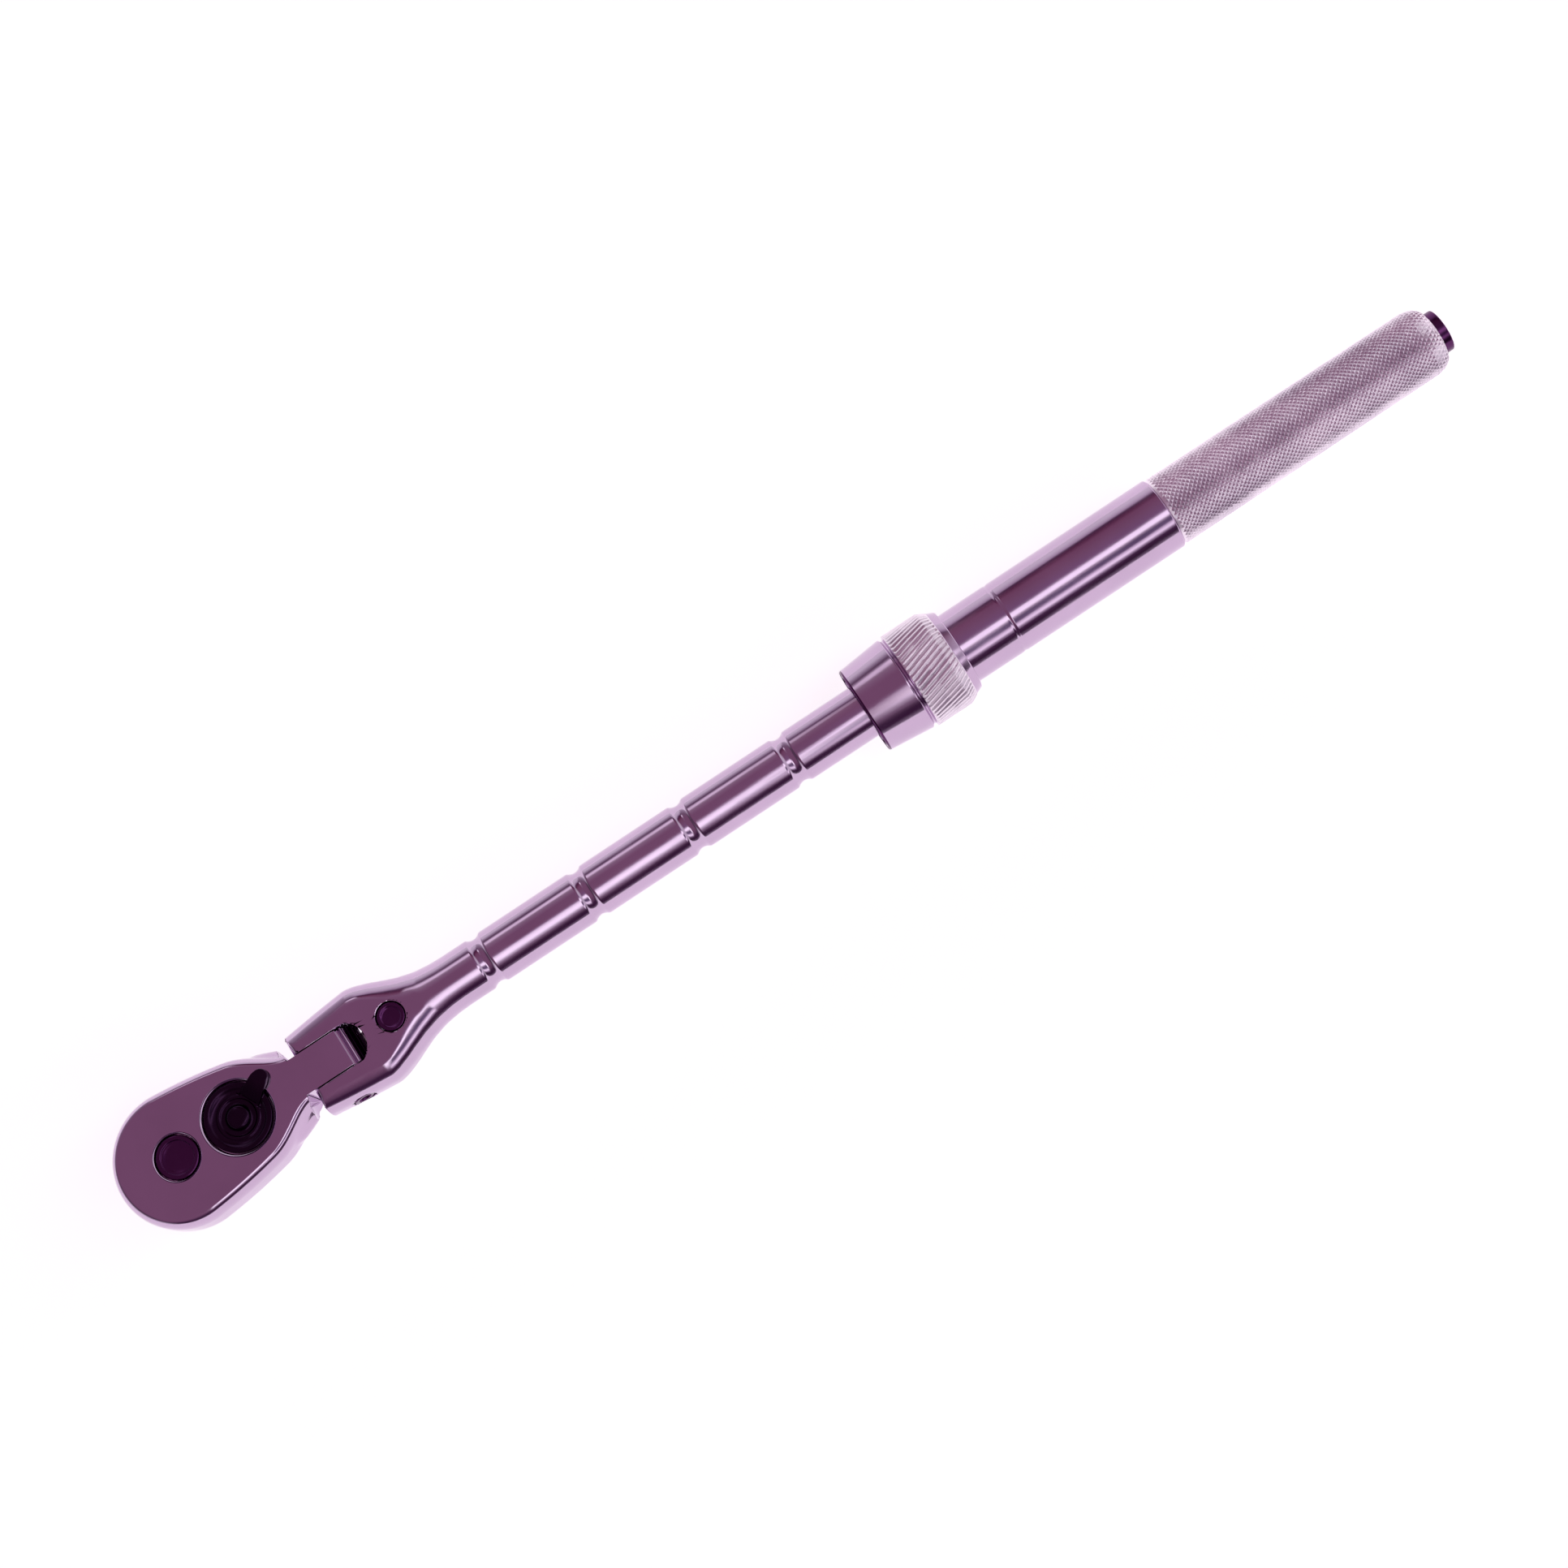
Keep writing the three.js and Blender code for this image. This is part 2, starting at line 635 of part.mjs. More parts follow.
function hingePin() {

	const dimple = 0.6;
	return turned( 'y', [
		[ 0, - PIN_HALF + dimple ], [ 1.7, - PIN_HALF + dimple ], [ 2, - PIN_HALF ], [ PIN_RADIUS - 0.5, - PIN_HALF ],
		[ PIN_RADIUS, - PIN_HALF + 0.5 ], [ PIN_RADIUS, PIN_HALF - 0.5 ], [ PIN_RADIUS - 0.5, PIN_HALF ],
		[ 2, PIN_HALF ], [ 1.7, PIN_HALF - dimple ], [ 0, PIN_HALF - dimple ],
	], SMALL_ROUND ).translate( HINGE_X, 0, 0 );

}

// The bolt's slanted slot and the button's slanted stem run side by side, so that pressing draws the bolt back.
function slantedBar( halfLength, halfWidth, from, to ) {

	const slope = LOCK_BOLT_TRAVEL / LOCK_BUTTON_TRAVEL;
	const middle = 70.6;
	return sidePlate( outline( [
		[ middle - halfLength + slope * from, from ], [ middle + halfLength + slope * from, from ],
		[ middle + halfLength + slope * to, to ], [ middle - halfLength + slope * to, to ],
	] ), halfWidth );

}

function lockBolt() {

	const round = bar( 'x', LOCK_BOLT_RADIUS, 61.7, LOCK_BOLT_END, SMALL_ROUND );
	const tip = HINGE_X + TONGUE_RADIUS - NOTCH_DEPTH + GAP;
	const blade = sidePlate( outline( [
		[ tip, - 0.2 ], [ tip + 1.2, - 0.45 ], [ 62.5, - 0.45 ], [ 62.5, 0.45 ], [ tip + 1.2, 0.45 ], [ tip, 0.2 ],
	] ), 2.6 );
	return cut( join( round, blade ), slantedBar( 1.55, 1.55, - 4, 4 ) );

}

function lockButton() {

	const cap = turned( 'z', [
		[ 0, 4.75 ], [ LOCK_BUTTON_RADIUS, 4.75 ], [ LOCK_BUTTON_RADIUS, 7.3 ], [ LOCK_BUTTON_RADIUS - 0.4, 7.7 ],
		[ 2.6, 7.3 ], [ 0, 7.15 ],
	], SMALL_ROUND ).translate( LOCK_BUTTON_X, 0, 0 );
	return join( cap, slantedBar( 1.2, 1.2, - 3.4, 5 ) );

}

// ---------------------------------------------------------------------------- handle

function noseSleeve() {

	const step = TUBE_START - GAP;
	const front = COLLAR_FRONT + 0.6;
	const body = turned( 'x', [
		[ SLEEVE_BORE, front + 0.4 ], [ SLEEVE_BORE + 0.4, front ], [ SLEEVE_RADIUS - 0.3, front ],
		[ SLEEVE_RADIUS, front + 0.3 ], [ SLEEVE_RADIUS, step ], [ SLEEVE_TAIL_RADIUS, step ],
		[ SLEEVE_TAIL_RADIUS, SLEEVE_END ], [ SLEEVE_BORE, SLEEVE_END ],
	] );
	const holes = ballAngles().map( ( angle ) => bar( 'y', BALL_RADIUS + 0.2, 5, 12, SMALL_ROUND )
		.translate( BALL_X, 0, 0 ).rotateX( angle ) );
	return cut( body, ringGroove( 'x', 9.3, 11, COLLAR_FRONT + 1.3, COLLAR_FRONT + 2.5 ), ...holes );

}

// Angles about the handle's axis, from +Y, with the first ball on top.
function ballAngles() {

	return Array.from( { length: BALLS }, ( _, i ) => Math.PI / 2 + 2 * Math.PI * i / BALLS );

}

function lockBall( angle ) {

	const clearOfRod = ROD_RADIUS + 0.1 + BALL_RADIUS;
	const ball = new THREE.SphereGeometry( BALL_RADIUS, SMALL_ROUND, 8 );
	return ball.translate( BALL_X, clearOfRod, 0 ).rotateX( angle );

}

// Knurled collar whose inner cone presses the balls into the rod as it slides forward.
function lockCollar() {

	const front = COLLAR_FRONT;
	const recess = 12.85;
	const land = recess - BALL_TRAVEL - 0.04;
	return turned( 'x', [
		[ 11.4, front ], [ 12.9, front ], [ 13.3, front + 0.5 ], [ 14.7, front + 14.3 ],
		[ 13.9, front + 14.8 ], [ 13.9, front + 15.4 ], [ 15, front + 16.2 ], [ 15, front + 27 ],
		[ 14.3, front + 28.4 ], [ 12.7, front + 32 ], [ 11.4, front + 32 ],
		[ 11.4, front + 17 ], [ SLEEVE_RADIUS + GAP, front + 17 ], [ SLEEVE_RADIUS + GAP, front + 15 ],
		[ land, front + 15 ], [ land, BALL_X + COLLAR_TRAVEL + 0.15 ], [ recess, BALL_X ],
		[ recess, front + 6.6 ], [ SLEEVE_RADIUS + GAP, front + 6.6 ], [ SLEEVE_RADIUS + GAP, front + 5.5 ],
		[ 11.4, front + 5.5 ],
	] );

}

function handleTube() {

	const roundCentre = TUBE_END - TUBE_END_ROUND;
	const endRadius = CAP_RADIUS + 0.6;
	const flangeBore = CAP_FLANGE_RADIUS + GAP;
	const flangeSeat = CAP_FLANGE_END + GAP;
	return turned( 'x', [
		[ TUBE_BORE, TUBE_START ], [ TUBE_RADIUS - 0.3, TUBE_START ], [ TUBE_RADIUS, TUBE_START + 0.3 ],
		[ TUBE_RADIUS, CRIMP_X - 0.6 ], [ TUBE_RADIUS - 0.3, CRIMP_X ], [ TUBE_RADIUS, CRIMP_X + 0.6 ],
		[ TUBE_RADIUS, GRIP_START - 0.3 ], [ GRIP_RADIUS, GRIP_START ],
		...arc( [ endRadius, roundCentre ], GRIP_END_RADIUS - endRadius, TUBE_END_ROUND, 0, 90, 7 ),
		[ CAP_RADIUS + GAP, TUBE_END ], [ CAP_RADIUS + GAP, flangeSeat ], [ flangeBore, flangeSeat ],
		[ flangeBore, TUBE_STEP_X ], [ TUBE_BORE, TUBE_STEP_X ],
	] );

}

function endCap() {

	return turned( 'x', [
		[ 0, CAP_FLANGE_START ], [ CAP_FLANGE_RADIUS, CAP_FLANGE_START ],
		[ CAP_FLANGE_RADIUS, CAP_FLANGE_END ], [ CAP_RADIUS, CAP_FLANGE_END ],
		[ CAP_RADIUS, CAP_END - 0.5 ], [ CAP_RADIUS - 0.5, CAP_END ], [ 4.8, CAP_END ],
		[ 4.4, CAP_END - 0.9 ], [ 0, CAP_END - 0.9 ],
	], SMALL_ROUND );

}

// ---------------------------------------------------------------------------- assembly

const headGroup = onHandleAxis(
	piece( 'head_body', headBody(), chrome ),
	piece( 'cover_ring', coverRing(), gearSteel ),
	piece( 'cover_snap_ring', snapRing( 'z', 12.6, 14.1, - 7.2, - 6.45, 26 ), springSteel ),
);

const driveGroup = onHandleAxis(
	piece( 'drive_gear', driveGear(), chrome ),
	piece( 'release_button', releaseButton(), polishedDark ),
	piece( 'release_spring', coil( 3.8, 0.5, 8.2, 4.5 ).translate( 0, 0, - 3.8 ), springSteel ),
	piece( 'socket_ball', socketBall(), gearSteel ),
);

const lever = new THREE.Group();
lever.rotation.z = radians( LEVER_ANGLE );
lever.add(
	piece( 'reverse_lever', reverseLever(), blackOxide ),
	piece( 'lever_clip', snapRing( 'z', 2.65, 4.8, - 5.2, - 4.85, 80 ), springSteel ),
	piece( 'pawl_spring', alongAxis( coil( 0.75, 0.2, 1.8, 2.5 ).rotateX( - Math.PI / 2 ), 'x' )
		.translate( - 0.8, 0, - 0.75 ), springSteel ),
	piece( 'pawl_plunger', turned( 'x', [ [ 0, 1.3 ], [ 1.05, 1.3 ], [ 1.05, 3.5 ], [ 0.5, 4.2 ], [ 0, 4.2 ] ], 16 )
		.translate( 0, 0, - 0.75 ), gearSteel ),
);

const pawlMesh = piece( 'pawl', pawl(), gearSteel );
pawlMesh.rotation.z = radians( PAWL_ROCK );

const reverseGroup = onHandleAxis( lever, pawlMesh );
reverseGroup.position.x = LEVER_X;

const springLength = LOCK_BORE_END - LOCK_BOLT_END - 2 * GAP;
const shankGroup = onHandleAxis(
	piece( 'shank', shank(), chrome ),
	piece( 'hinge_pin', hingePin(), polishedDark ),
	piece( 'lock_button', lockButton(), polishedDark ),
	piece( 'lock_bolt', lockBolt(), gearSteel ),
	piece( 'lock_spring', coil( 2.1, 0.4, springLength, 6.5 ).rotateY( Math.PI / 2 )
		.translate( LOCK_BOLT_END + GAP, 0, 0 ), springSteel ),
	piece( 'rod_stop_ring', snapRing( 'x', 7.4, 8.95, 280.5, 281.6, 40 ), springSteel ),
);

const webBack = COLLAR_FRONT + 17 + GAP;
const handleGroup = onHandleAxis(
	piece( 'nose_sleeve', noseSleeve(), gearSteel ),
	piece( 'collar_stop_ring', snapRing( 'x', 9.55, 10.95, COLLAR_FRONT + 1.5, COLLAR_FRONT + 2.2, 40 ), springSteel ),
	piece( 'lock_collar', lockCollar(), chrome ),
	piece( 'collar_spring', coil( 10.65, 0.45, TUBE_START - GAP - webBack, 3.5, 24 ).rotateY( Math.PI / 2 )
		.translate( webBack, 0, 0 ), springSteel ),
	piece( 'handle_tube', handleTube(), chrome ),
	piece( 'end_cap', endCap(), polishedDark ),
	...ballAngles().map( ( angle, i ) => piece( `lock_ball_${ i + 1 }`, lockBall( angle ), gearSteel ) ),
);

const wrench = new THREE.Group();
wrench.add( headGroup, driveGroup, reverseGroup, shankGroup, handleGroup );

export default wrench;
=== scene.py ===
import json
import math

import bmesh
import bpy
import numpy as np
from mathutils import Matrix, Vector


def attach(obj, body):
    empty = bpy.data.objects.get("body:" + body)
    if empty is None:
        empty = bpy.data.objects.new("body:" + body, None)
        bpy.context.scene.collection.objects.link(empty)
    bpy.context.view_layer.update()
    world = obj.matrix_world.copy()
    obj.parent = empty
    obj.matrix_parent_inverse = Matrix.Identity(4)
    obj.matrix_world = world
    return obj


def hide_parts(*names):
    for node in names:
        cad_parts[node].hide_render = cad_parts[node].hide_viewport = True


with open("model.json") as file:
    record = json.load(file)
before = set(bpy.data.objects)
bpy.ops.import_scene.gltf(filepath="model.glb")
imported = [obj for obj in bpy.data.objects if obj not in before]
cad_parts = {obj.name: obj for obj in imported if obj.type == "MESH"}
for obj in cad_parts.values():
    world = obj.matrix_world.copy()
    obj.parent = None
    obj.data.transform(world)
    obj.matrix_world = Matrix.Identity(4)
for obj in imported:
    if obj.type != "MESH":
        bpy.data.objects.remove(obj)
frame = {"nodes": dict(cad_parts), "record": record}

# Telescopic flex-head ratchet wrench: the looks. Shapes below are in millimetres about the handle's axis,
# which is AXIS_Z above the end of the square drive, and are scaled to metres when a mesh is made.

MM = 0.001
AXIS_Z = 23.9

# Head: half thickness between the flats, the drive's axis is at x = 0.
HALF = 7.9
HEAD_RADIUS = 17.1
LEVER_X = 20.4
LEVER_ANGLE = math.radians(27)
LEVER_RECESS_RADIUS = 10.4
BUTTON_BORE_RADIUS = 6.7

# Flex joint.
HINGE_X = 52.6
HINGE_BORE_RADIUS = 3.5
TONGUE_RADIUS = 8.4
TONGUE_HALF_WIDTH = 5.7
NOTCH_FLOOR_RADIUS = 7.2
NOTCH_STEP = 15
LOCK_BUTTON_X = 71.8

# Rod and its ring grooves.
EAR_X = 42.5
ROD_START = 92.0
ROD_RADIUS = 8.0
ROD_END = 283.4
GROOVE_DEPTH = 0.95
GROOVE_ROUND = 3.0
GROOVES = [102.3 + 34.3 * i for i in range(5)]

# Collar, handle tube and its cap.
BALL_X = 239.5
COLLAR_FRONT = 230.0
COLLAR_RADIUS = 15.0
RIBS_START = COLLAR_FRONT + 15.7
RIBS_END = COLLAR_FRONT + 29.5
TUBE_START = 256.5
TUBE_RADIUS = 11.0
TUBE_BORE = 9.3
CRIMP_X = 277.9
GRIP_START = 332.0
GRIP_START_RADIUS = 10.75
GRIP_END_RADIUS = 10.35
TUBE_END = 423.2
TUBE_END_ROUND = 5.7
TUBE_MOUTH_RADIUS = 7.1
FLANGE_RADIUS = 8.0
FLANGE_START = 420.9
FLANGE_END = 421.8
CAP_RADIUS = 6.5
CAP_END = 426.0
GAP = 0.3

ROUND = 160
SMALL_ROUND = 64

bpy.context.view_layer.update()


# ---------------------------------------------------------------- meshes

def mesh_object(name, points, faces):
    """An object from points in millimetres about the handle's axis."""
    mesh = bpy.data.meshes.new(name)
    mesh.from_pydata([(x * MM, y * MM, (z + AXIS_Z) * MM) for x, y, z in points], [], faces)
    mesh.validate()
    obj = bpy.data.objects.new(name, mesh)
    bpy.context.scene.collection.objects.link(obj)
    return obj


def ring_faces(rows, columns, closed):
    """Quads between rows of points that each go once round."""
    faces = []
    for i in range(rows if closed else rows - 1):
        a, b = i * columns, ((i + 1) % rows) * columns
        for j in range(columns):
            k = (j + 1) % columns
            faces.append((a + j, a + k, b + k, b + j))
    return faces


def along(axis, radius, angle, position):
    """A point at a radius and an angle round an axis."""
    c, s = radius * math.cos(angle), radius * math.sin(angle)
    return {"x": (position, c, s), "y": (s, position, c), "z": (c, s, position)}[axis]


def fillet(profile, steps=4):
    """Rounds the corners of a closed profile of (radius, position, corner radius)."""
    out = []
    count = len(profile)
    for i, (r, p, corner) in enumerate(profile):
        here = Vector((r, p))
        before = Vector(profile[i - 1][:2]) - here
        after = Vector(profile[(i + 1) % count][:2]) - here
        if corner <= 0 or before.length < 1e-6 or after.length < 1e-6:
            out.append((r, p))
            continue
        reach = min(corner, before.length * 0.45, after.length * 0.45)
        a, b = here + before.normalized() * reach, here + after.normalized() * reach
        for step in range(steps + 1):
            t = step / steps
            q = a * (1 - t) ** 2 + here * (2 * t * (1 - t)) + b * t * t
            out.append((q.x, q.y))
    return out


def lathe(name, axis, profile, sides=ROUND, centre=(0, 0, 0)):
    """A closed profile of (radius, position, corner radius) turned about an axis."""
    loop = fillet(profile)
    points = []
    for r, p in loop:
        for j in range(sides):
            q = along(axis, max(r, 0.0005), 2 * math.pi * j / sides, p)
            points.append(tuple(u + v for u, v in zip(q, centre)))
    return mesh_object(name, points, ring_faces(len(loop), sides, True))


def bar(axis, radius, start, end, sides=SMALL_ROUND, centre=(0, 0, 0)):
    """A round bar along an axis, from start to end."""
    points = []
    for p in (start, end):
        for j in range(sides):
            q = along(axis, radius, 2 * math.pi * j / sides, p)
            points.append(tuple(u + v for u, v in zip(q, centre)))
    faces = ring_faces(2, sides, False)
    faces += [tuple(range(sides))[::-1], tuple(range(sides, 2 * sides))]
    return mesh_object("cutter", points, faces)


def slab(outline, low_side, high_side, plane="xy"):
    """A flat outline pushed from one side to the other, in XY along Z or in XZ along Y."""
    points = []
    for side in (low_side, high_side):
        points += [(a, b, side) if plane == "xy" else (a, side, b) for a, b in outline]
    n = len(outline)
    faces = ring_faces(2, n, False) + [tuple(range(n))[::-1], tuple(range(n, 2 * n))]
    obj = mesh_object("cutter", points, faces)
    tidy_normals(obj)
    return obj


def arc(cx, cy, rx, ry, start, end, steps):
    angles = [math.radians(start + (end - start) * i / steps) for i in range(steps + 1)]
    return [(cx + rx * math.cos(a), cy + ry * math.sin(a)) for a in angles]


def tidy_normals(obj):
    """Joins points in the same place and turns every face outward."""
    bm = bmesh.new()
    bm.from_mesh(obj.data)
    bmesh.ops.remove_doubles(bm, verts=bm.verts, dist=1e-7)
    bmesh.ops.recalc_face_normals(bm, faces=bm.faces)
    bm.to_mesh(obj.data)
    bm.free()


def apply_modifiers(obj):
    bpy.context.view_layer.update()
    graph = bpy.context.evaluated_depsgraph_get()
    mesh = bpy.data.meshes.new_from_object(obj.evaluated_get(graph))
    old = obj.data
    obj.modifiers.clear()
    obj.data = mesh
    mesh.name = obj.name
    bpy.data.meshes.remove(old)


def combine(obj, operation, *others):
    """Cuts or joins other solids, which are used up."""
    tidy_normals(obj)
    for other in others:
        tidy_normals(other)
        modifier = obj.modifiers.new("combine", "BOOLEAN")
        modifier.operation = operation
        modifier.solver = "EXACT"
        modifier.object = other
        apply_modifiers(obj)
        bpy.data.objects.remove(other)
    return obj


def soften(obj, width, angle=35, segments=2):
    """Merges flat regions and rounds the edges sharper than an angle."""
    bm = bmesh.new()
    bm.from_mesh(obj.data)
    bmesh.ops.remove_doubles(bm, verts=bm.verts, dist=2e-6)
    bmesh.ops.dissolve_limit(bm, angle_limit=math.radians(0.02), verts=bm.verts, edges=bm.edges)
    bm.to_mesh(obj.data)
    bm.free()
    modifier = obj.modifiers.new("edges", "BEVEL")
    modifier.width = width * MM
    modifier.segments = segments
    modifier.limit_method = "ANGLE"
    modifier.angle_limit = math.radians(angle)
    modifier.use_clamp_overlap = False
    modifier.miter_outer = "MITER_ARC"
    apply_modifiers(obj)


def shade(obj, angle=40):
    """Smooth shading, with edges sharper than an angle kept."""
    for polygon in obj.data.polygons:
        polygon.use_smooth = True
    obj.data.set_sharp_from_angle(angle=math.radians(angle))
    modifier = obj.modifiers.new("shading", "WEIGHTED_NORMAL")
    modifier.keep_sharp = True
    modifier.weight = 100
    apply_modifiers(obj)
    return obj


def smoothed(stations, at, reach):
    """Values between stations, with the corners eased over a reach."""
    xs = np.array([s[0] for s in stations], float)
    ys = np.array([s[1] for s in stations], float)
    offsets = np.linspace(-reach, reach, 9)
    weights = np.cos(offsets / reach * math.pi / 2) + 1e-3
    samples = [np.interp(np.asarray(at) + o, xs, ys) * w for o, w in zip(offsets, weights)]
    return np.sum(samples, axis=0) / weights.sum()


def smooth_min(a, b, k):
    """The smaller of two values, with the change from one to the other eased over k."""
    h = max(k - abs(a - b), 0.0) / k
    return min(a, b) - h * h * k * 0.25


# ---------------------------------------------------------------- materials

def metal(name, base, roughness, roughness_span, tone, grain, bump, scale):
    """Metal with cloudy roughness, faint tone changes and a fine grain along the handle."""
    material = bpy.data.materials.new(name)
    material.use_nodes = True
    nodes, links = material.node_tree.nodes, material.node_tree.links
    shader = nodes["Principled BSDF"]
    shader.inputs["Metallic"].default_value = 1
    coordinates = nodes.new("ShaderNodeTexCoord")
    stretch = nodes.new("ShaderNodeMapping")
    stretch.inputs["Scale"].default_value = (grain, 1, 1)
    links.new(coordinates.outputs["Object"], stretch.inputs["Vector"])

    clouds = nodes.new("ShaderNodeTexNoise")
    clouds.inputs["Scale"].default_value = 55
    clouds.inputs["Detail"].default_value = 5
    links.new(coordinates.outputs["Object"], clouds.inputs["Vector"])
    fine = nodes.new("ShaderNodeTexNoise")
    fine.inputs["Scale"].default_value = scale
    fine.inputs["Detail"].default_value = 3
    links.new(stretch.outputs["Vector"], fine.inputs["Vector"])

    tones = nodes.new("ShaderNodeValToRGB")
    tones.color_ramp.elements[0].position = 0.32
    tones.color_ramp.elements[1].position = 0.68
    tones.color_ramp.elements[0].color = [c * (1 - tone) for c in base] + [1]
    tones.color_ramp.elements[1].color = [min(c * (1 + tone), 1) for c in base] + [1]
    links.new(clouds.outputs["Fac"], tones.inputs["Fac"])
    links.new(tones.outputs["Color"], shader.inputs["Base Color"])

    blend = nodes.new("ShaderNodeMath")
    blend.operation = "MULTIPLY"
    links.new(clouds.outputs["Fac"], blend.inputs[0])
    links.new(fine.outputs["Fac"], blend.inputs[1])
    spread = nodes.new("ShaderNodeMapRange")
    spread.inputs["From Min"].default_value = 0.12
    spread.inputs["From Max"].default_value = 0.4
    spread.inputs["To Min"].default_value = roughness
    spread.inputs["To Max"].default_value = roughness + roughness_span
    links.new(blend.outputs["Value"], spread.inputs["Value"])
    links.new(spread.outputs["Result"], shader.inputs["Roughness"])

    relief = nodes.new("ShaderNodeBump")
    relief.inputs["Strength"].default_value = bump
    relief.inputs["Distance"].default_value = 0.00002
    links.new(fine.outputs["Fac"], relief.inputs["Height"])
    links.new(relief.outputs["Normal"], shader.inputs["Normal"])
    return material


# Each metal: base colour, roughness and its spread, tone change, grain along the handle, relief, grain size.
chrome = metal("plum_chrome", (0.57, 0.43, 0.6), 0.07, 0.08, 0.04, 0.15, 0.25, 900)
# The knurled chrome is the same plating as the plum chrome. Its lighter base colour is painted sheen for the
# light the knurl's facets catch. Its higher roughness is the knurl's own.
knurl_painted_sheen = metal("knurled_chrome_painted_sheen", (0.88, 0.78, 0.9), 0.3, 0.16, 0.16, 1, 0.4, 420)
dark_chrome = metal("dark_chrome", (0.105, 0.028, 0.11), 0.14, 0.12, 0.12, 1, 0.3, 1200)
black = metal("black_oxide", (0.032, 0.012, 0.036), 0.16, 0.14, 0.3, 1, 0.4, 1500)
gear_steel = metal("gear_steel", (0.5, 0.47, 0.51), 0.22, 0.15, 0.08, 0.2, 0.5, 1300)
spring_steel = metal("spring_steel", (0.33, 0.31, 0.34), 0.25, 0.12, 0.1, 1, 0.4, 1500)

SLOT_MATERIALS = {
    "chrome": chrome, "dark_chrome": dark_chrome, "black_oxide": black,
    "gear_steel": gear_steel, "spring_steel": spring_steel,
}
node_slots = {part["node"]: part["material_slot"] for part in frame["record"]["subparts"]}
node_bodies = {n: b for b, names in frame["record"]["behaviour"]["bodies"].items() for n in names}

for node, obj in frame["nodes"].items():
    for material_slot in obj.material_slots:
        material_slot.material = SLOT_MATERIALS[node_slots[node]]


def stand_for(obj, node):
    """The finished piece takes a CAD node's place, body and material slot."""
    obj.data.materials.clear()
    obj.data.materials.append(SLOT_MATERIALS[node_slots[node]])
    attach(obj, node_bodies[node])
    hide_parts(node)
    return obj


# ---------------------------------------------------------------- head

def bezier(points, steps):
    """Points on a Bezier curve, without its last one."""
    out = []
    n = len(points) - 1
    for i in range(steps):
        t = i / steps
        weights = [math.comb(n, k) * t ** k * (1 - t) ** (n - k) for k in range(n + 1)]
        out.append(tuple(sum(w * p[side] for w, p in zip(weights, points)) for side in (0, 1)))
    return out


def pear_outline():
    """The head's flat face from the neck round the front and back to the neck."""
    shoulder = 83
    start = arc(0, 0, HEAD_RADIUS, HEAD_RADIUS, shoulder, shoulder, 1)[0]
    upper = bezier([(41.5, 5.6), (35, 5.6), (30, 12.4), (23, 13.8)], 36)
    upper += bezier([(23, 13.8), (13, 16), start], 26)
    front = arc(0, 0, HEAD_RADIUS, HEAD_RADIUS, shoulder, 360 - shoulder, 120)
    return upper + front + [(x, -y) for x, y in upper[::-1]]


def eased_bore(radius, floor, ease, x=0):
    """A cutter for a bore from a floor up through the flat face, with its upper edge rounded off."""
    rounded = [(radius + ease * (1 - math.cos(a)), HALF - ease + ease * math.sin(a), 0)
               for a in np.linspace(0, 1.35, 6)]
    profile = [(0, floor, 0), (radius, floor, 0), *rounded, (radius + ease, 9, 0), (0, 9, 0)]
    return lathe("cutter", "z", profile, 128, (x, 0, 0))


# Half width of the neck's round sides along the handle, as x and half width.
NECK = [(18, 9.5), (24, 13), (30, 14.4), (34, 12.9), (37, 11.7), (41.5, 10.8), (50, 10.8)]


def outward_normals(base):
    """The outline's outward directions, square to the handle at its two ends."""
    count = len(base)
    normals = []
    for i, (x, y) in enumerate(base):
        if i in (0, count - 1):
            normals.append((0.0, 1.0 if i == 0 else -1.0))
            continue
        dx = base[(i + 1) % count][0] - base[i - 1][0]
        dy = base[(i + 1) % count][1] - base[i - 1][1]
        length = math.hypot(dx, dy)
        normals.append((dy / length, -dx / length))
    if normals[count // 2][0] > 0:
        normals = [(0.0, ny) if i in (0, count - 1) else (-nx, -ny) for i, (nx, ny) in enumerate(normals)]
    return normals


def head_blank():
    """The forging before machining: the flat outline swelled out round its edge, and pinched at the neck."""
    base = pear_outline()
    count = len(base)
    normals = outward_normals(base)
    swell_out, swell_height = 2.9, 5.2
    middle = HALF - swell_height
    levels = [(swell_out * math.sin(math.radians(a)), middle + swell_height * math.cos(math.radians(a)))
              for a in range(0, 91, 6)]
    levels += [(swell_out, middle / 2), (swell_out, 0)]
    levels += [(out, -z) for out, z in levels[-2::-1]]
    neck_radius = smoothed(NECK, [x for x, _ in base], 1.6)
    points = []
    for out, z in levels:
        for i, ((x, y), (nx, ny)) in enumerate(zip(base, normals)):
            px, py = x + nx * out, y + ny * out
            if x > 19:
                r = neck_radius[i]
                swell = r * math.sqrt(max(0.0, 1 - (z / (0.54 * r)) ** 2))
                sign = 1 if y > 0 else -1
                py = -smooth_min(-abs(py), -swell, 1.2) * sign
            points.append((px, py, z))
    faces = ring_faces(len(levels), count, False)
    faces += [tuple(range(count)), tuple(range(len(points) - count, len(points)))[::-1]]
    return mesh_object("head_shell", points, faces)


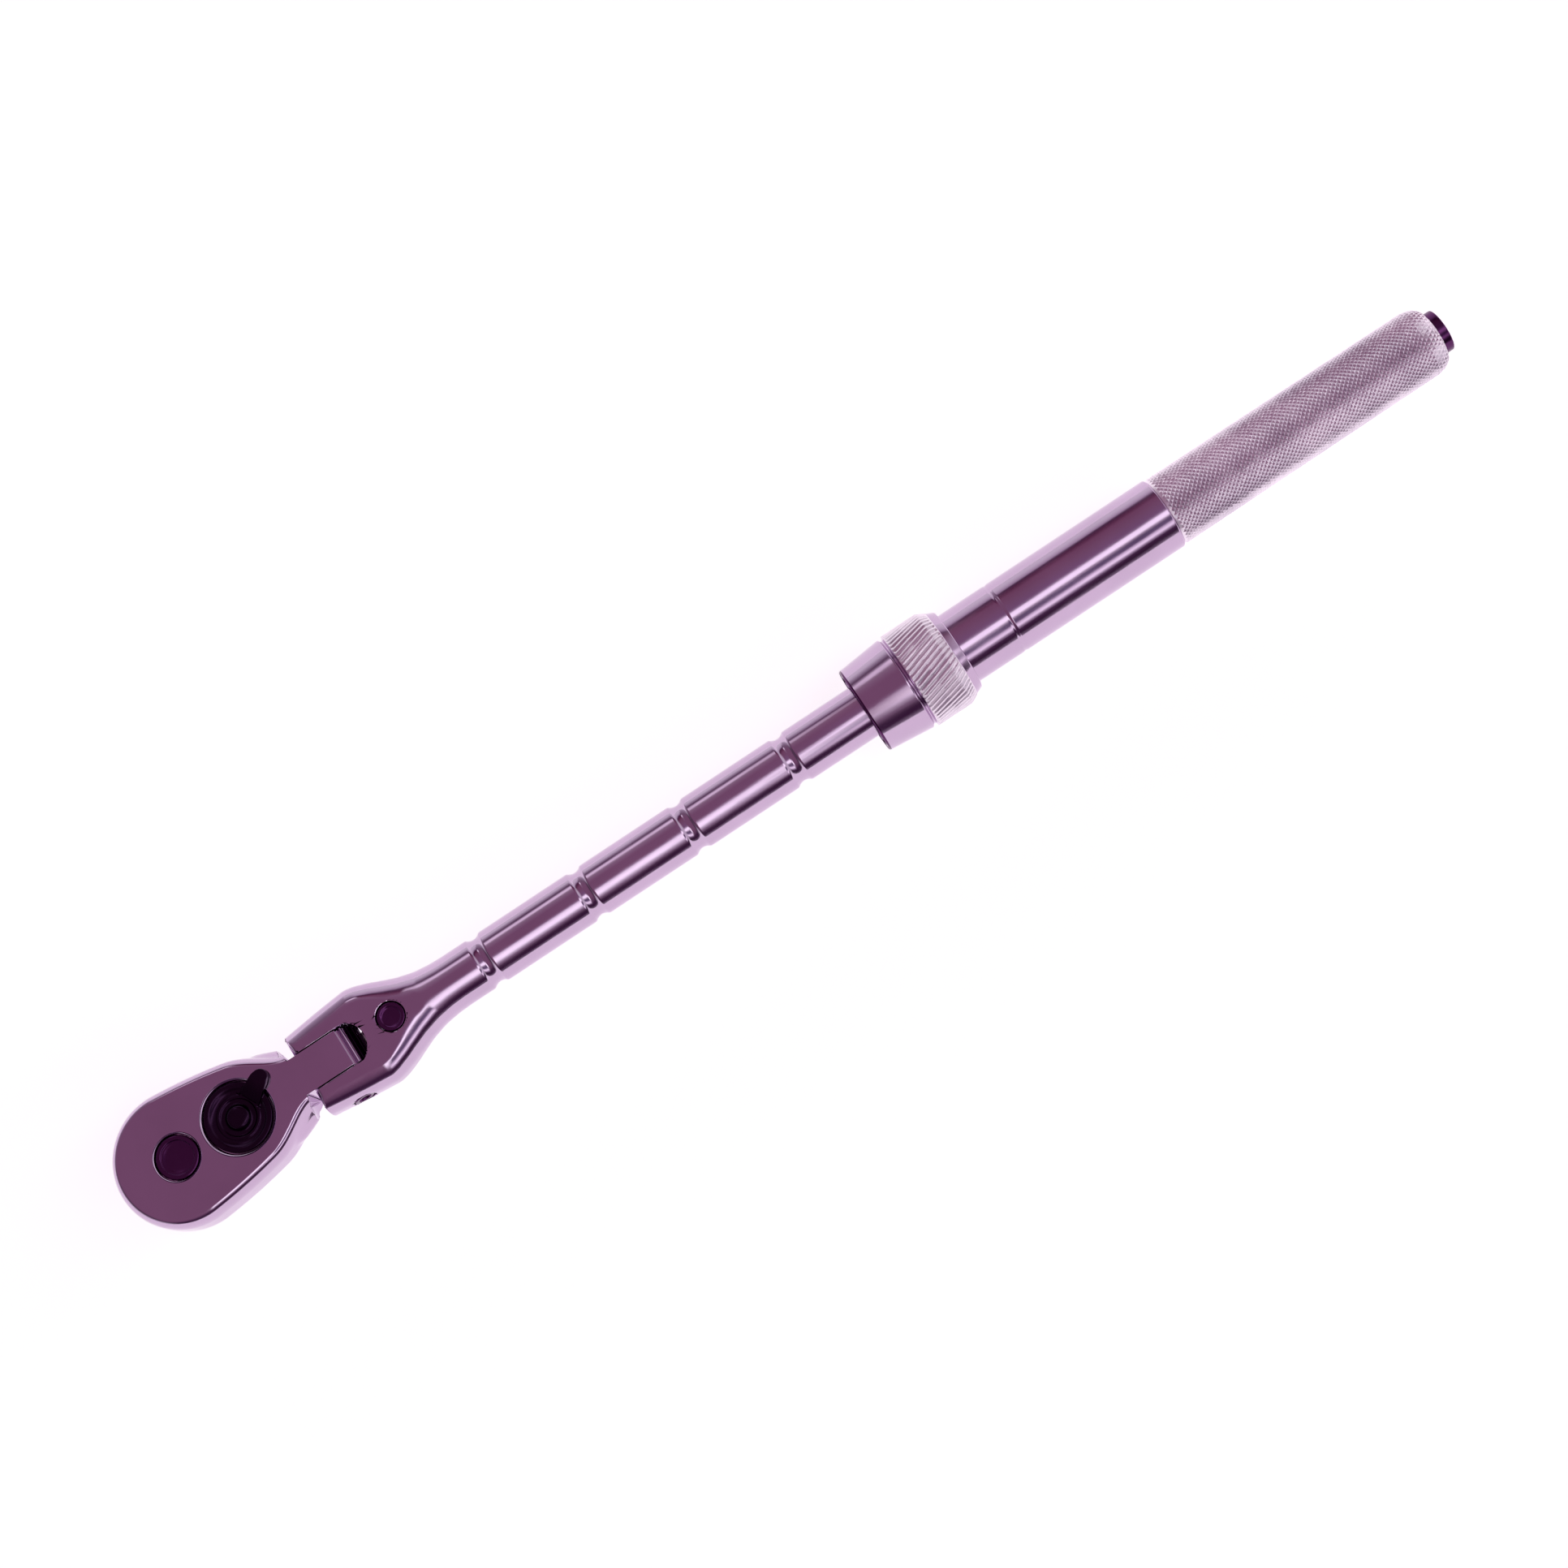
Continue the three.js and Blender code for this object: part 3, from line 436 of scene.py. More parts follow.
def tongue():
    """The hinge tongue, whose round end has a notch for the lock bolt every NOTCH_STEP degrees."""
    flat_end = HINGE_X + math.sqrt(TONGUE_RADIUS ** 2 - HALF ** 2)
    root = 35
    side = [(root, -HALF), (flat_end, -HALF)]
    notch = (
        (TONGUE_RADIUS, -4.8), (NOTCH_FLOOR_RADIUS, -3.2), (NOTCH_FLOOR_RADIUS, 3.2), (TONGUE_RADIUS, 4.8),
    )
    for middle in range(-60, 61, NOTCH_STEP):
        for radius, offset in notch:
            a = math.radians(middle + offset)
            side.append((HINGE_X + radius * math.cos(a), radius * math.sin(a)))
    side += [(flat_end, HALF), (root, HALF)]
    return slab(side, -TONGUE_HALF_WIDTH, TONGUE_HALF_WIDTH, "xz")


def head():
    obj = head_blank()
    ear_sweep = 14.4
    combine(obj, "DIFFERENCE", bar("y", ear_sweep, -25, 25, 96, (HINGE_X, 0, 0)))
    combine(obj, "UNION", tongue())

    gear_room = bar("z", 13.6, -9, 3.4, 128)
    snap_ring_groove = bar("z", 14.4, -7.35, -6.3, 128)
    upper_journal = bar("z", 9.1, 2.4, 5.4, 96)
    pawl_room = slab(arc(0, 0, 16.5, 16.5, -44, 44, 16) + arc(0, 0, 10, 10, 44, -44, 8), -6, 3.4)
    plunger_room = bar("z", 6.5, -6, 3.4, 64, (LEVER_X, 0, 0))
    lever_shaft_bore = bar("z", 3.3, 2.4, HALF, 48, (LEVER_X, 0, 0))
    hinge_bore = bar("y", HINGE_BORE_RADIUS, -8, 8, 48, (HINGE_X, 0, 0))
    combine(
        obj, "DIFFERENCE",
        gear_room, snap_ring_groove, upper_journal, eased_bore(BUTTON_BORE_RADIUS, 5.1, 0.5), pawl_room,
        plunger_room, lever_shaft_bore, eased_bore(LEVER_RECESS_RADIUS, 5.3, 0.8, LEVER_X), hinge_bore,
    )
    soften(obj, 0.22)
    return shade(obj)


def paint(obj, materials, which):
    """Gives each face the material that a rule picks by the face's centre, in millimetres."""
    obj.data.materials.clear()
    for material in materials:
        obj.data.materials.append(material)
    for polygon in obj.data.polygons:
        polygon.material_index = which(polygon.center / MM)


def tongue_painted_shade(c):
    """Painted shade: black on the tongue's end down in the slot between the ears, below its first tooth."""
    return int(c.x > 58.0 and abs(c.y) < TONGUE_HALF_WIDTH + 0.05)


# The tongue's end in the slot gets black as painted shade.
paint(stand_for(head(), "head_body"), [chrome, black], tongue_painted_shade)


# ---------------------------------------------------------------- lever and buttons

def turned_about(obj, x, angle):
    """Turns a finished mesh about a vertical axis through x on the handle's line."""
    pivot = Matrix.Translation((x * MM, 0, 0))
    obj.data.transform(pivot @ Matrix.Rotation(angle, 4, "Z") @ pivot.inverted())
    return obj


def reverse_lever():
    """Dished disc on a shaft, with a thumb tab that reaches over the head's face."""
    disc = lathe("lever_disc", "z", [
        (0, -5.8, 0), (2.6, -5.8, 0), (3, -5.5, 0), (3, -5.3, 0), (2.4, -5.3, 0), (2.4, -4.75, 0),
        (3, -4.75, 0), (3, 5.6, 0.1), (10, 5.6, 0.2), (10, 7.8, 0.45), (8.6, 7.8, 0.5), (7.6, 7.05, 0.6),
        (6.6, 6.85, 0.5), (6.2, 7.15, 0.25), (5.6, 7.15, 0.25), (5.1, 6.7, 0.3), (3.9, 6.7, 0.5),
        (3.1, 7.9, 0.5), (2.2, 8.2, 0.5), (0, 8.2, 0),
    ], 128, (LEVER_X, 0, 0))
    outline = [(5.5, -3.4), (12.2, -2.6)] + arc(13, 0, 2.2, 2.2, -75, 75, 14) + [(12.2, 2.6), (5.5, 3.4)]
    tab = slab([(x + LEVER_X, y) for x, y in outline], 6, 10.4)
    side = [
        (5, 6.2), (9.8, 6.2), (9.8, 8.2), (16, 8.2), (16, 9.6), (13, 10.3), (11, 9.9), (8, 8.4), (5, 6.7),
    ]
    combine(tab, "INTERSECT", slab([(x + LEVER_X, z) for x, z in side], -6, 6, "xz"))
    combine(disc, "UNION", tab)
    plunger_bore = bar("x", 1.3, LEVER_X - 1, LEVER_X + 5, 32, (0, 0, -0.75))
    combine(disc, "DIFFERENCE", plunger_bore)
    soften(disc, 0.35, 50)
    return turned_about(shade(disc), LEVER_X, LEVER_ANGLE)


stand_for(reverse_lever(), "reverse_lever")


def quick_release_button():
    """Wide cap, and a stem down to the socket's ball, necked so that the ball can sink."""
    ball_z = 7.5 - AXIS_Z
    return shade(lathe("quick_release_button", "z", [
        (0, ball_z - 2.4, 0), (1.6, ball_z - 2.4, 0.2), (1.6, ball_z, 0), (0.72, ball_z + 2.2, 0),
        (0.72, ball_z + 4.7, 0), (2.4, ball_z + 5.3, 0.1), (2.4, 4.7, 0), (6.35, 4.7, 0.1), (6.35, 7.75, 1.1),
        (5.0, 7.7, 0.4), (4.8, 7.3, 0.3), (4.4, 7.3, 0.3), (3.6, 7.1, 0.6), (0, 6.9, 0),
    ], 128))


stand_for(quick_release_button(), "release_button")


def flex_button():
    """Round cap, and a slanted stem whose wedge draws the lock bolt back."""
    cap = lathe("flex_lock_button", "z", [
        (0, 4.75, 0), (4.1, 4.75, 0.1), (4.1, 7.8, 0.9), (3.1, 7.7, 0.4), (2.6, 7.3, 0.4), (0, 7.15, 0),
    ], 96, (LOCK_BUTTON_X, 0, 0))
    stem = [(70.6 + side + 0.8 * z, z) for side, z in ((-1.2, -3.4), (1.2, -3.4), (1.2, 5), (-1.2, 5))]
    combine(cap, "UNION", slab(stem, -1.2, 1.2, "xz"))
    return shade(cap)


stand_for(flex_button(), "lock_button")


def hinge_pin():
    """Round pin with a shallow hollow in each end."""
    return shade(lathe("flex_pin", "y", [
        (0, -13.3, 0), (1.7, -13.3, 0.1), (2, -13.9, 0.15), (3.2, -13.9, 0.5), (3.2, 13.9, 0.5),
        (2, 13.9, 0.15), (1.7, 13.3, 0.1), (0, 13.3, 0),
    ], 96, (HINGE_X, 0, 0)))


stand_for(hinge_pin(), "hinge_pin")


# ---------------------------------------------------------------- yoke and rod

# Section of the forging: x, half width, half height, fullness (2 is an ellipse, more is squarer).
YOKE = [
    (EAR_X, 13, 8.8, 2.8), (48, 13.7, 8.85, 2.8), (56, 14.6, 8.9, 2.8), (63.5, 15.3, 9.1, 2.8),
    (66.5, 14.7, 9, 2.8), (70.5, 13.3, 8.7, 2.6), (74, 11.8, 8.35, 2.4), (78, 10.2, 8.1, 2.2), (83, 8.8, 8, 2),
    (88, 8.15, 8, 2), (ROD_START, 8, 8, 2), (100, 8, 8, 2),
]
SHANK_SIDES = 288


def yoke_stations():
    """Places along the yoke with the flats' height there: round ears, flats, and their run-out to the rod."""
    ear_round, flats_end = 2.5, 80
    ears = [(EAR_X + ear_round - ear_round * math.sin(a), HALF - ear_round + ear_round * math.cos(a))
            for a in np.linspace(math.pi / 2, 0, 10)]
    flats = [(x, HALF) for x in np.arange(45.7, flats_end, 0.7)]
    run_out = [(x, HALF + 0.15 * (x - flats_end)) for x in np.arange(flats_end, ROD_START, 0.8)]
    return ears + flats + run_out


def yoke_points():
    stations = yoke_stations()
    xs = [x for x, _ in stations]
    widths, heights, fullnesses = (smoothed([(s[0], s[i]) for s in YOKE], xs, 1.3) for i in (1, 2, 3))
    points = []
    for (x, limit), width, height, n in zip(stations, widths, heights, fullnesses):
        for j in range(SHANK_SIDES):
            a = 2 * math.pi * (j + 0.5) / SHANK_SIDES
            c, s = math.cos(a), math.sin(a)
            round_surface = (abs(c / width) ** n + abs(s / height) ** n) ** (-1 / n)
            flat_surface = limit / max(abs(s), 1e-3)
            r = smooth_min(round_surface, flat_surface, 0.45)
            points.append((x, r * c, r * s))
    return points


def rod_profile():
    """Radius and place along the rod, with its ring grooves and the stop ring's groove."""
    profile = [(ROD_RADIUS, ROD_START)]
    lift = ROD_RADIUS - GROOVE_DEPTH + GROOVE_ROUND
    half = math.degrees(math.acos((lift - ROD_RADIUS) / GROOVE_ROUND))
    angles = [math.radians(a) for a in np.linspace(-half + 3, half - 3, 13)]
    edge, edge_ease, ease_depth = 2.55, 0.25, 0.03
    for centre in GROOVES:
        profile += [(ROD_RADIUS, centre - edge), (ROD_RADIUS - ease_depth, centre - edge + edge_ease)]
        profile += [(lift - GROOVE_ROUND * math.cos(a), centre + GROOVE_ROUND * math.sin(a)) for a in angles]
        profile += [(ROD_RADIUS - ease_depth, centre + edge - edge_ease), (ROD_RADIUS, centre + edge)]
    profile += [(ROD_RADIUS, 280.2), (7.1, 280.2), (7.1, 281.9), (ROD_RADIUS, 281.9)]
    profile += [(ROD_RADIUS, ROD_END - 0.8), (ROD_RADIUS - 0.8, ROD_END)]
    return profile


def shank():
    points = yoke_points()
    for r, x in rod_profile():
        for j in range(SHANK_SIDES):
            points.append(along("x", r, 2 * math.pi * (j + 0.5) / SHANK_SIDES, x))
    rows = len(points) // SHANK_SIDES
    faces = ring_faces(rows, SHANK_SIDES, False)
    faces += [tuple(range(SHANK_SIDES))[::-1], tuple(range(len(points) - SHANK_SIDES, len(points)))]
    obj = mesh_object("yoke_and_rod", points, faces)

    slot_half, slot_round = 6, 6.6
    end_half = math.degrees(math.asin(slot_half / slot_round))
    slot_end = arc(56.2, 0, slot_round, slot_round, -end_half, end_half, 32)
    slot = slab([(40, -slot_half)] + slot_end + [(40, slot_half)], -12, 12)
    tongue_room = bar("y", TONGUE_RADIUS + 0.35, -slot_half, slot_half, 96, (HINGE_X, 0, 0))
    hinge_bore = bar("y", HINGE_BORE_RADIUS, -20, 20, 64, (HINGE_X, 0, 0))
    bolt_bore = bar("x", 3.2, 59.8, 90, 48)
    button_bore = bar("z", 4.4, 2.6, 12, 96, (LOCK_BUTTON_X, 0, 0))
    stem_room = slab([(66, -1.6), (71.2, -1.6), (71.2, 1.6), (66, 1.6)], -5.6, 0)
    combine(obj, "DIFFERENCE", slot, tongue_room, hinge_bore, bolt_bore, button_bore, stem_room)
    soften(obj, 0.3)
    return shade(obj)


stand_for(shank(), "shank")


# ---------------------------------------------------------------- collar and handle

def from_axis(c):
    """A point's distance from the handle's axis."""
    return math.hypot(c.y, c.z - AXIS_Z)


def ribbed_radius(r, x, ribs, angle):
    """Radius on a band of slightly slanted ribs, which fade out at the band's ends."""
    depth, twist, fade_length = 0.34, 1.2, 0.5
    fade = min(1.0, (x - RIBS_START) / fade_length, (RIBS_END - x) / fade_length)
    phase = (angle * ribs + twist * (x - RIBS_START)) / (2 * math.pi) % 1.0
    tooth = 1 - abs(2 * phase - 1)
    crest = min(1.0, tooth * 1.6)
    return r - depth * (1 - crest) * max(fade, 0.0)


def collar():
    """Tapered nose, a narrow groove, a ribbed band and a shoulder down to the tube; ball ramp inside."""
    front = COLLAR_FRONT
    nose = [
        (12.9, front + 0.05, 0.35), (13.3, front + 0.5, 0.4), (14.7, front + 14.3, 0.35),
        (13.9, front + 14.8, 0.2), (13.9, front + 15.2, 0.2), (COLLAR_RADIUS, RIBS_START, 0.2),
    ]
    shoulder = [
        (COLLAR_RADIUS, front + 27, 0.3), (14.3, front + 28.4, 0.6), (13.75, front + 29.45, 0.2),
        (13.55, front + 29.6, 0.2), (12.5, front + 32, 0.4), (11.4, front + 32, 0.2),
    ]
    inside = [
        (11.4, front + 17, 0), (10.2, front + 17, 0), (10.2, front + 15, 0), (11.96, front + 15, 0),
        (11.96, BALL_X + 3.15, 0), (12.85, BALL_X, 0), (12.85, front + 6.6, 0), (10.2, front + 6.6, 0),
        (10.2, front + 5.5, 0), (11.4, front + 5.5, 0.2), (11.4, front, 0.25),
    ]
    band = [(COLLAR_RADIUS, x) for x in np.linspace(RIBS_START + 0.05, front + 26.9, 20)]
    rows = fillet(nose)[:-2] + band + fillet(shoulder + inside)[2:]
    ribs, points_per_rib = 54, 8
    sides = ribs * points_per_rib
    points = []
    for r, x in rows:
        on_band = RIBS_START < x < RIBS_END and r > 13.6
        for j in range(sides):
            a = 2 * math.pi * j / sides
            points.append(along("x", ribbed_radius(r, x, ribs, a) if on_band else r, a, x))
    obj = mesh_object("knurled_collar", points, ring_faces(len(rows), sides, True))
    tidy_normals(obj)
    return shade(obj, 32)


def collar_painted_shade_and_sheen(c):
    """Painted shade in dark chrome on the nose's edge, worn knurling with a painted sheen on the band, chrome
    elsewhere.
    """
    if c.x < COLLAR_FRONT + 1.15:
        return 2
    return int(RIBS_START - 0.1 < c.x < RIBS_END and from_axis(c) > 13.4)


def grip_line(pitch):
    """Radius and place of the grip's rows: a slow taper, then a quarter round down to the tube's mouth."""
    round_start = TUBE_END - TUBE_END_ROUND
    slope = (GRIP_START_RADIUS - GRIP_END_RADIUS) / (round_start - GRIP_START)
    taper = [(GRIP_START_RADIUS - slope * (x - GRIP_START), x)
             for x in np.arange(GRIP_START + 0.5, round_start, pitch)]
    drop = GRIP_END_RADIUS - TUBE_MOUTH_RADIUS
    curve = [(TUBE_MOUTH_RADIUS + drop * math.cos(a), round_start + TUBE_END_ROUND * math.sin(a))
             for a in np.linspace(0.12, math.pi / 2 - 0.12, 7)]
    return taper + curve


def tube():
    """Handle tube: a smooth front, then a grip of small worn diamond points that runs round its end."""
    sides = 84
    fine_sides = sides * 2
    pitch = 2 * math.pi * 10.6 / sides
    valley = 0.36
    points, faces = [], []

    def add_row(r, x, n=sides):
        points.extend(along("x", r, 2 * math.pi * j / n, x) for j in range(n))
        return len(points) - n

    def join(a, b, n=sides):
        faces.extend((a + j, a + (j + 1) % n, b + (j + 1) % n, b + j) for j in range(n))

    def join_fine(fine, coarse):
        for j in range(sides):
            first, middle, last = (fine + (2 * j + step) % fine_sides for step in range(3))
            faces.append((first, middle, coarse + j))
            faces.append((middle, last, coarse + (j + 1) % sides, coarse + j))

    front = fillet([
        (TUBE_BORE, TUBE_START, 0.15), (TUBE_RADIUS, TUBE_START, 0.35), (TUBE_RADIUS, CRIMP_X - 0.7, 0.2),
        (TUBE_RADIUS - 0.25, CRIMP_X, 0.3), (TUBE_RADIUS, CRIMP_X + 0.7, 0.2),
        (TUBE_RADIUS, GRIP_START - 0.35, 0.3), (10.3, GRIP_START, 0.1),
    ])[:-1]
    front_rows = [add_row(r, x, fine_sides) for r, x in front]
    for a, b in zip(front_rows, front_rows[1:]):
        join(a, b, fine_sides)
    previous = add_row(GRIP_START_RADIUS - 0.4, GRIP_START + 0.05)
    join_fine(front_rows[-1], previous)

    line = grip_line(pitch)
    wear = np.random.default_rng(7)
    for i, (outer, x) in enumerate(line):
        row = len(points)
        for j in range(sides):
            raised = (i + j) % 2 == 0 and 0 < i < len(line) - 1
            depth = wear.uniform(-0.06, 0.03) if raised else wear.uniform(-0.03, 0.03) - valley
            shift = wear.uniform(-0.05, 0.05)
            angle = 2 * math.pi * (j + shift) / sides
            points.append(along("x", outer + min(depth, 0), angle, x + shift))
        for j in range(sides if i else 0):
            k = (j + 1) % sides
            a, b, c, d = previous + j, previous + k, row + k, row + j
            faces += [(a, b, d), (b, c, d)] if (i - 1 + j) % 2 == 0 else [(a, b, c), (a, c, d)]
        if i == 0:
            join(previous, row)
        previous = row

    mouth_bore, flange_bore, step_x = CAP_RADIUS + GAP, FLANGE_RADIUS + GAP, 419.6
    inside = [
        (TUBE_MOUTH_RADIUS, TUBE_END - 0.05), (mouth_bore + 0.05, TUBE_END), (mouth_bore, TUBE_END - 0.15),
        (mouth_bore, FLANGE_END + GAP), (flange_bore, FLANGE_END + GAP), (flange_bore, step_x),
        (TUBE_BORE, step_x), (TUBE_BORE, TUBE_START + 0.15),
    ]
    for r, x in inside:
        row = add_row(r, x)
        join(previous, row)
        previous = row
    join_fine(front_rows[0], previous)
    obj = mesh_object("handle_and_grip", points, faces)
    tidy_normals(obj)
    return shade(obj, 24)


def grip_knurl_painted_sheen(c):
    """Worn knurling on the grip's outside, in the knurled chrome whose lighter colour is painted sheen."""
    return int(c.x > GRIP_START and from_axis(c) > 7)


# Painted shade: the collar's nose edge is dark chrome. Its knurled band is in the lighter knurled chrome, a
# painted sheen.
paint(stand_for(collar(), "lock_collar"), [chrome, knurl_painted_sheen, dark_chrome], collar_painted_shade_and_sheen)
# Painted sheen: the grip's knurling is in the lighter knurled chrome.
paint(stand_for(tube(), "handle_tube"), [chrome, knurl_painted_sheen], grip_knurl_painted_sheen)

stand_for(shade(lathe("grip_end_cap", "x", [
    (0, FLANGE_START, 0), (FLANGE_RADIUS, FLANGE_START, 0), (FLANGE_RADIUS, FLANGE_END, 0),
    (CAP_RADIUS, FLANGE_END, 0), (CAP_RADIUS, CAP_END, 0.5), (4.8, CAP_END, 0.25), (4.4, CAP_END - 0.9, 0.25),
    (0, CAP_END - 0.9, 0),
], 96)), "end_cap")

stand_for(shade(lathe("sleeve", "x", [
    (8.35, 230.9, 0.2), (8.6, 230.6, 0.1), (9.9, 230.6, 0.3), (9.9, 231.3, 0), (9.3, 231.3, 0), (9.3, 232.5, 0),
    (9.9, 232.5, 0), (9.9, 256.2, 0.1), (9, 256.2, 0), (9, 279.2, 0.1), (8.35, 279.2, 0.1),
], 128)), "nose_sleeve")

stand_for(shade(lathe("drive_side_cover", "z", [
    (9.5, -6.2, 0.2), (13.3, -6.2, 0.15), (13.3, -4.85, 0), (9.5, -4.85, 0),
], 128)), "cover_ring")


# ---------------------------------------------------------------- floor, light, camera

def stage_floor():
    """A pale floor that the drive's end and the end of the grip rest on."""
    drive_edge = 5.55 * MM
    grip_x, grip_z = (TUBE_END - 5) * MM, (AXIS_Z - 10.4) * MM
    slope = grip_z / (grip_x - drive_edge)
    size = 4.0
    square = ((-size, -size), (size, -size), (size, size), (-size, size))
    corners = [(x, y, (x - drive_edge) * slope) for x, y in square]
    mesh = bpy.data.meshes.new("floor")
    mesh.from_pydata(corners, [], [(0, 1, 2, 3)])
    floor = bpy.data.objects.new("floor", mesh)
    bpy.context.scene.collection.objects.link(floor)
    material = bpy.data.materials.new("pale_floor")
    material.use_nodes = True
    shader = material.node_tree.nodes["Principled BSDF"]
    shader.inputs["Base Color"].default_value = (0.82, 0.82, 0.82, 1)
    shader.inputs["Roughness"].default_value = 0.9
    shader.inputs["Specular IOR Level"].default_value = 0.1
    shader.inputs["Emission Color"].default_value = (1, 1, 1, 1)
    shader.inputs["Emission Strength"].default_value = 0.74
    nodes, links = material.node_tree.nodes, material.node_tree.links
    side = nodes.new("ShaderNodeNewGeometry")
    clear = nodes.new("ShaderNodeBsdfTransparent")
    choose = nodes.new("ShaderNodeMixShader")
    links.new(side.outputs["Backfacing"], choose.inputs["Fac"])
    links.new(shader.outputs["BSDF"], choose.inputs[1])
    links.new(clear.outputs["BSDF"], choose.inputs[2])
    links.new(choose.outputs["Shader"], nodes["Material Output"].inputs["Surface"])
    mesh.materials.append(material)


# Soft boxes as bands round the handle's direction, by angle from straight up towards -Y, in degrees.
# One wide box lights the head and the rod, and it splits in two narrow ones towards the grip.
CEILING = (0.26, 0.13, 0.21)
ONE_BOX = [
    (-180, (1.0, 1.0, 1.0)), (-92, (0.95, 0.95, 0.95)), (-80, (0.8, 0.78, 0.8)), (-70, (0.4, 0.33, 0.4)),
    (-62, (0.12, 0.06, 0.11)), (-57, (0.35, 0.27, 0.34)), (-52, (1.15, 1.05, 1.12)), (-46, (1.05, 0.95, 1.02)),
    (-41, (0.4, 0.3, 0.36)),
    (-32, (0.32, 0.2, 0.28)), (-20, CEILING), (9, CEILING), (15, (0.4, 0.28, 0.38)),
    (21, (1.3, 1.25, 1.3)), (29, (1.75, 1.75, 1.7)), (38, (1.7, 1.7, 1.7)), (46, (0.8, 0.75, 0.8)),
    (53, (0.35, 0.25, 0.33)), (62, (0.13, 0.07, 0.12)), (70, (0.05, 0.016, 0.05)), (80, (0.06, 0.02, 0.06)),
    (88, (0.25, 0.2, 0.25)), (97, (0.8, 0.78, 0.8)), (180, (1.0, 1.0, 1.0)),
]
TWO_BOXES = [
    (-180, (1.0, 1.0, 1.0)), (-92, (0.95, 0.95, 0.95)), (-76, (0.8, 0.78, 0.8)), (-66, (0.6, 0.5, 0.6)),
    (-59, (0.1, 0.04, 0.09)), (-50, (0.14, 0.04, 0.09)), (-40, (0.24, 0.1, 0.17)), (-20, CEILING),
    (2, (0.27, 0.15, 0.26)), (8, (0.4, 0.3, 0.4)), (13, (1.6, 1.55, 1.6)), (22, (1.7, 1.7, 1.7)),
    (28, (0.5, 0.42, 0.5)), (34, (0.16, 0.12, 0.2)), (42, (0.2, 0.14, 0.24)), (48, (1.1, 1.0, 1.1)),
    (54, (1.5, 1.45, 1.5)), (60, (0.5, 0.4, 0.5)), (66, (0.08, 0.03, 0.08)), (78, (0.04, 0.012, 0.04)),
    (86, (0.2, 0.15, 0.2)), (96, (0.8, 0.78, 0.8)), (180, (1.0, 1.0, 1.0)),
]
NO_BOX = [
    (-180, (1.0, 1.0, 1.0)), (-92, (0.9, 0.88, 0.9)), (-80, (0.45, 0.38, 0.45)), (-60, (0.24, 0.16, 0.22)),
    (-35, CEILING), (35, CEILING), (55, (0.16, 0.08, 0.14)), (66, (0.06, 0.02, 0.06)), (82, (0.07, 0.03, 0.07)),
    (90, (0.4, 0.34, 0.4)), (97, (0.85, 0.83, 0.85)), (180, (1.0, 1.0, 1.0)),
]


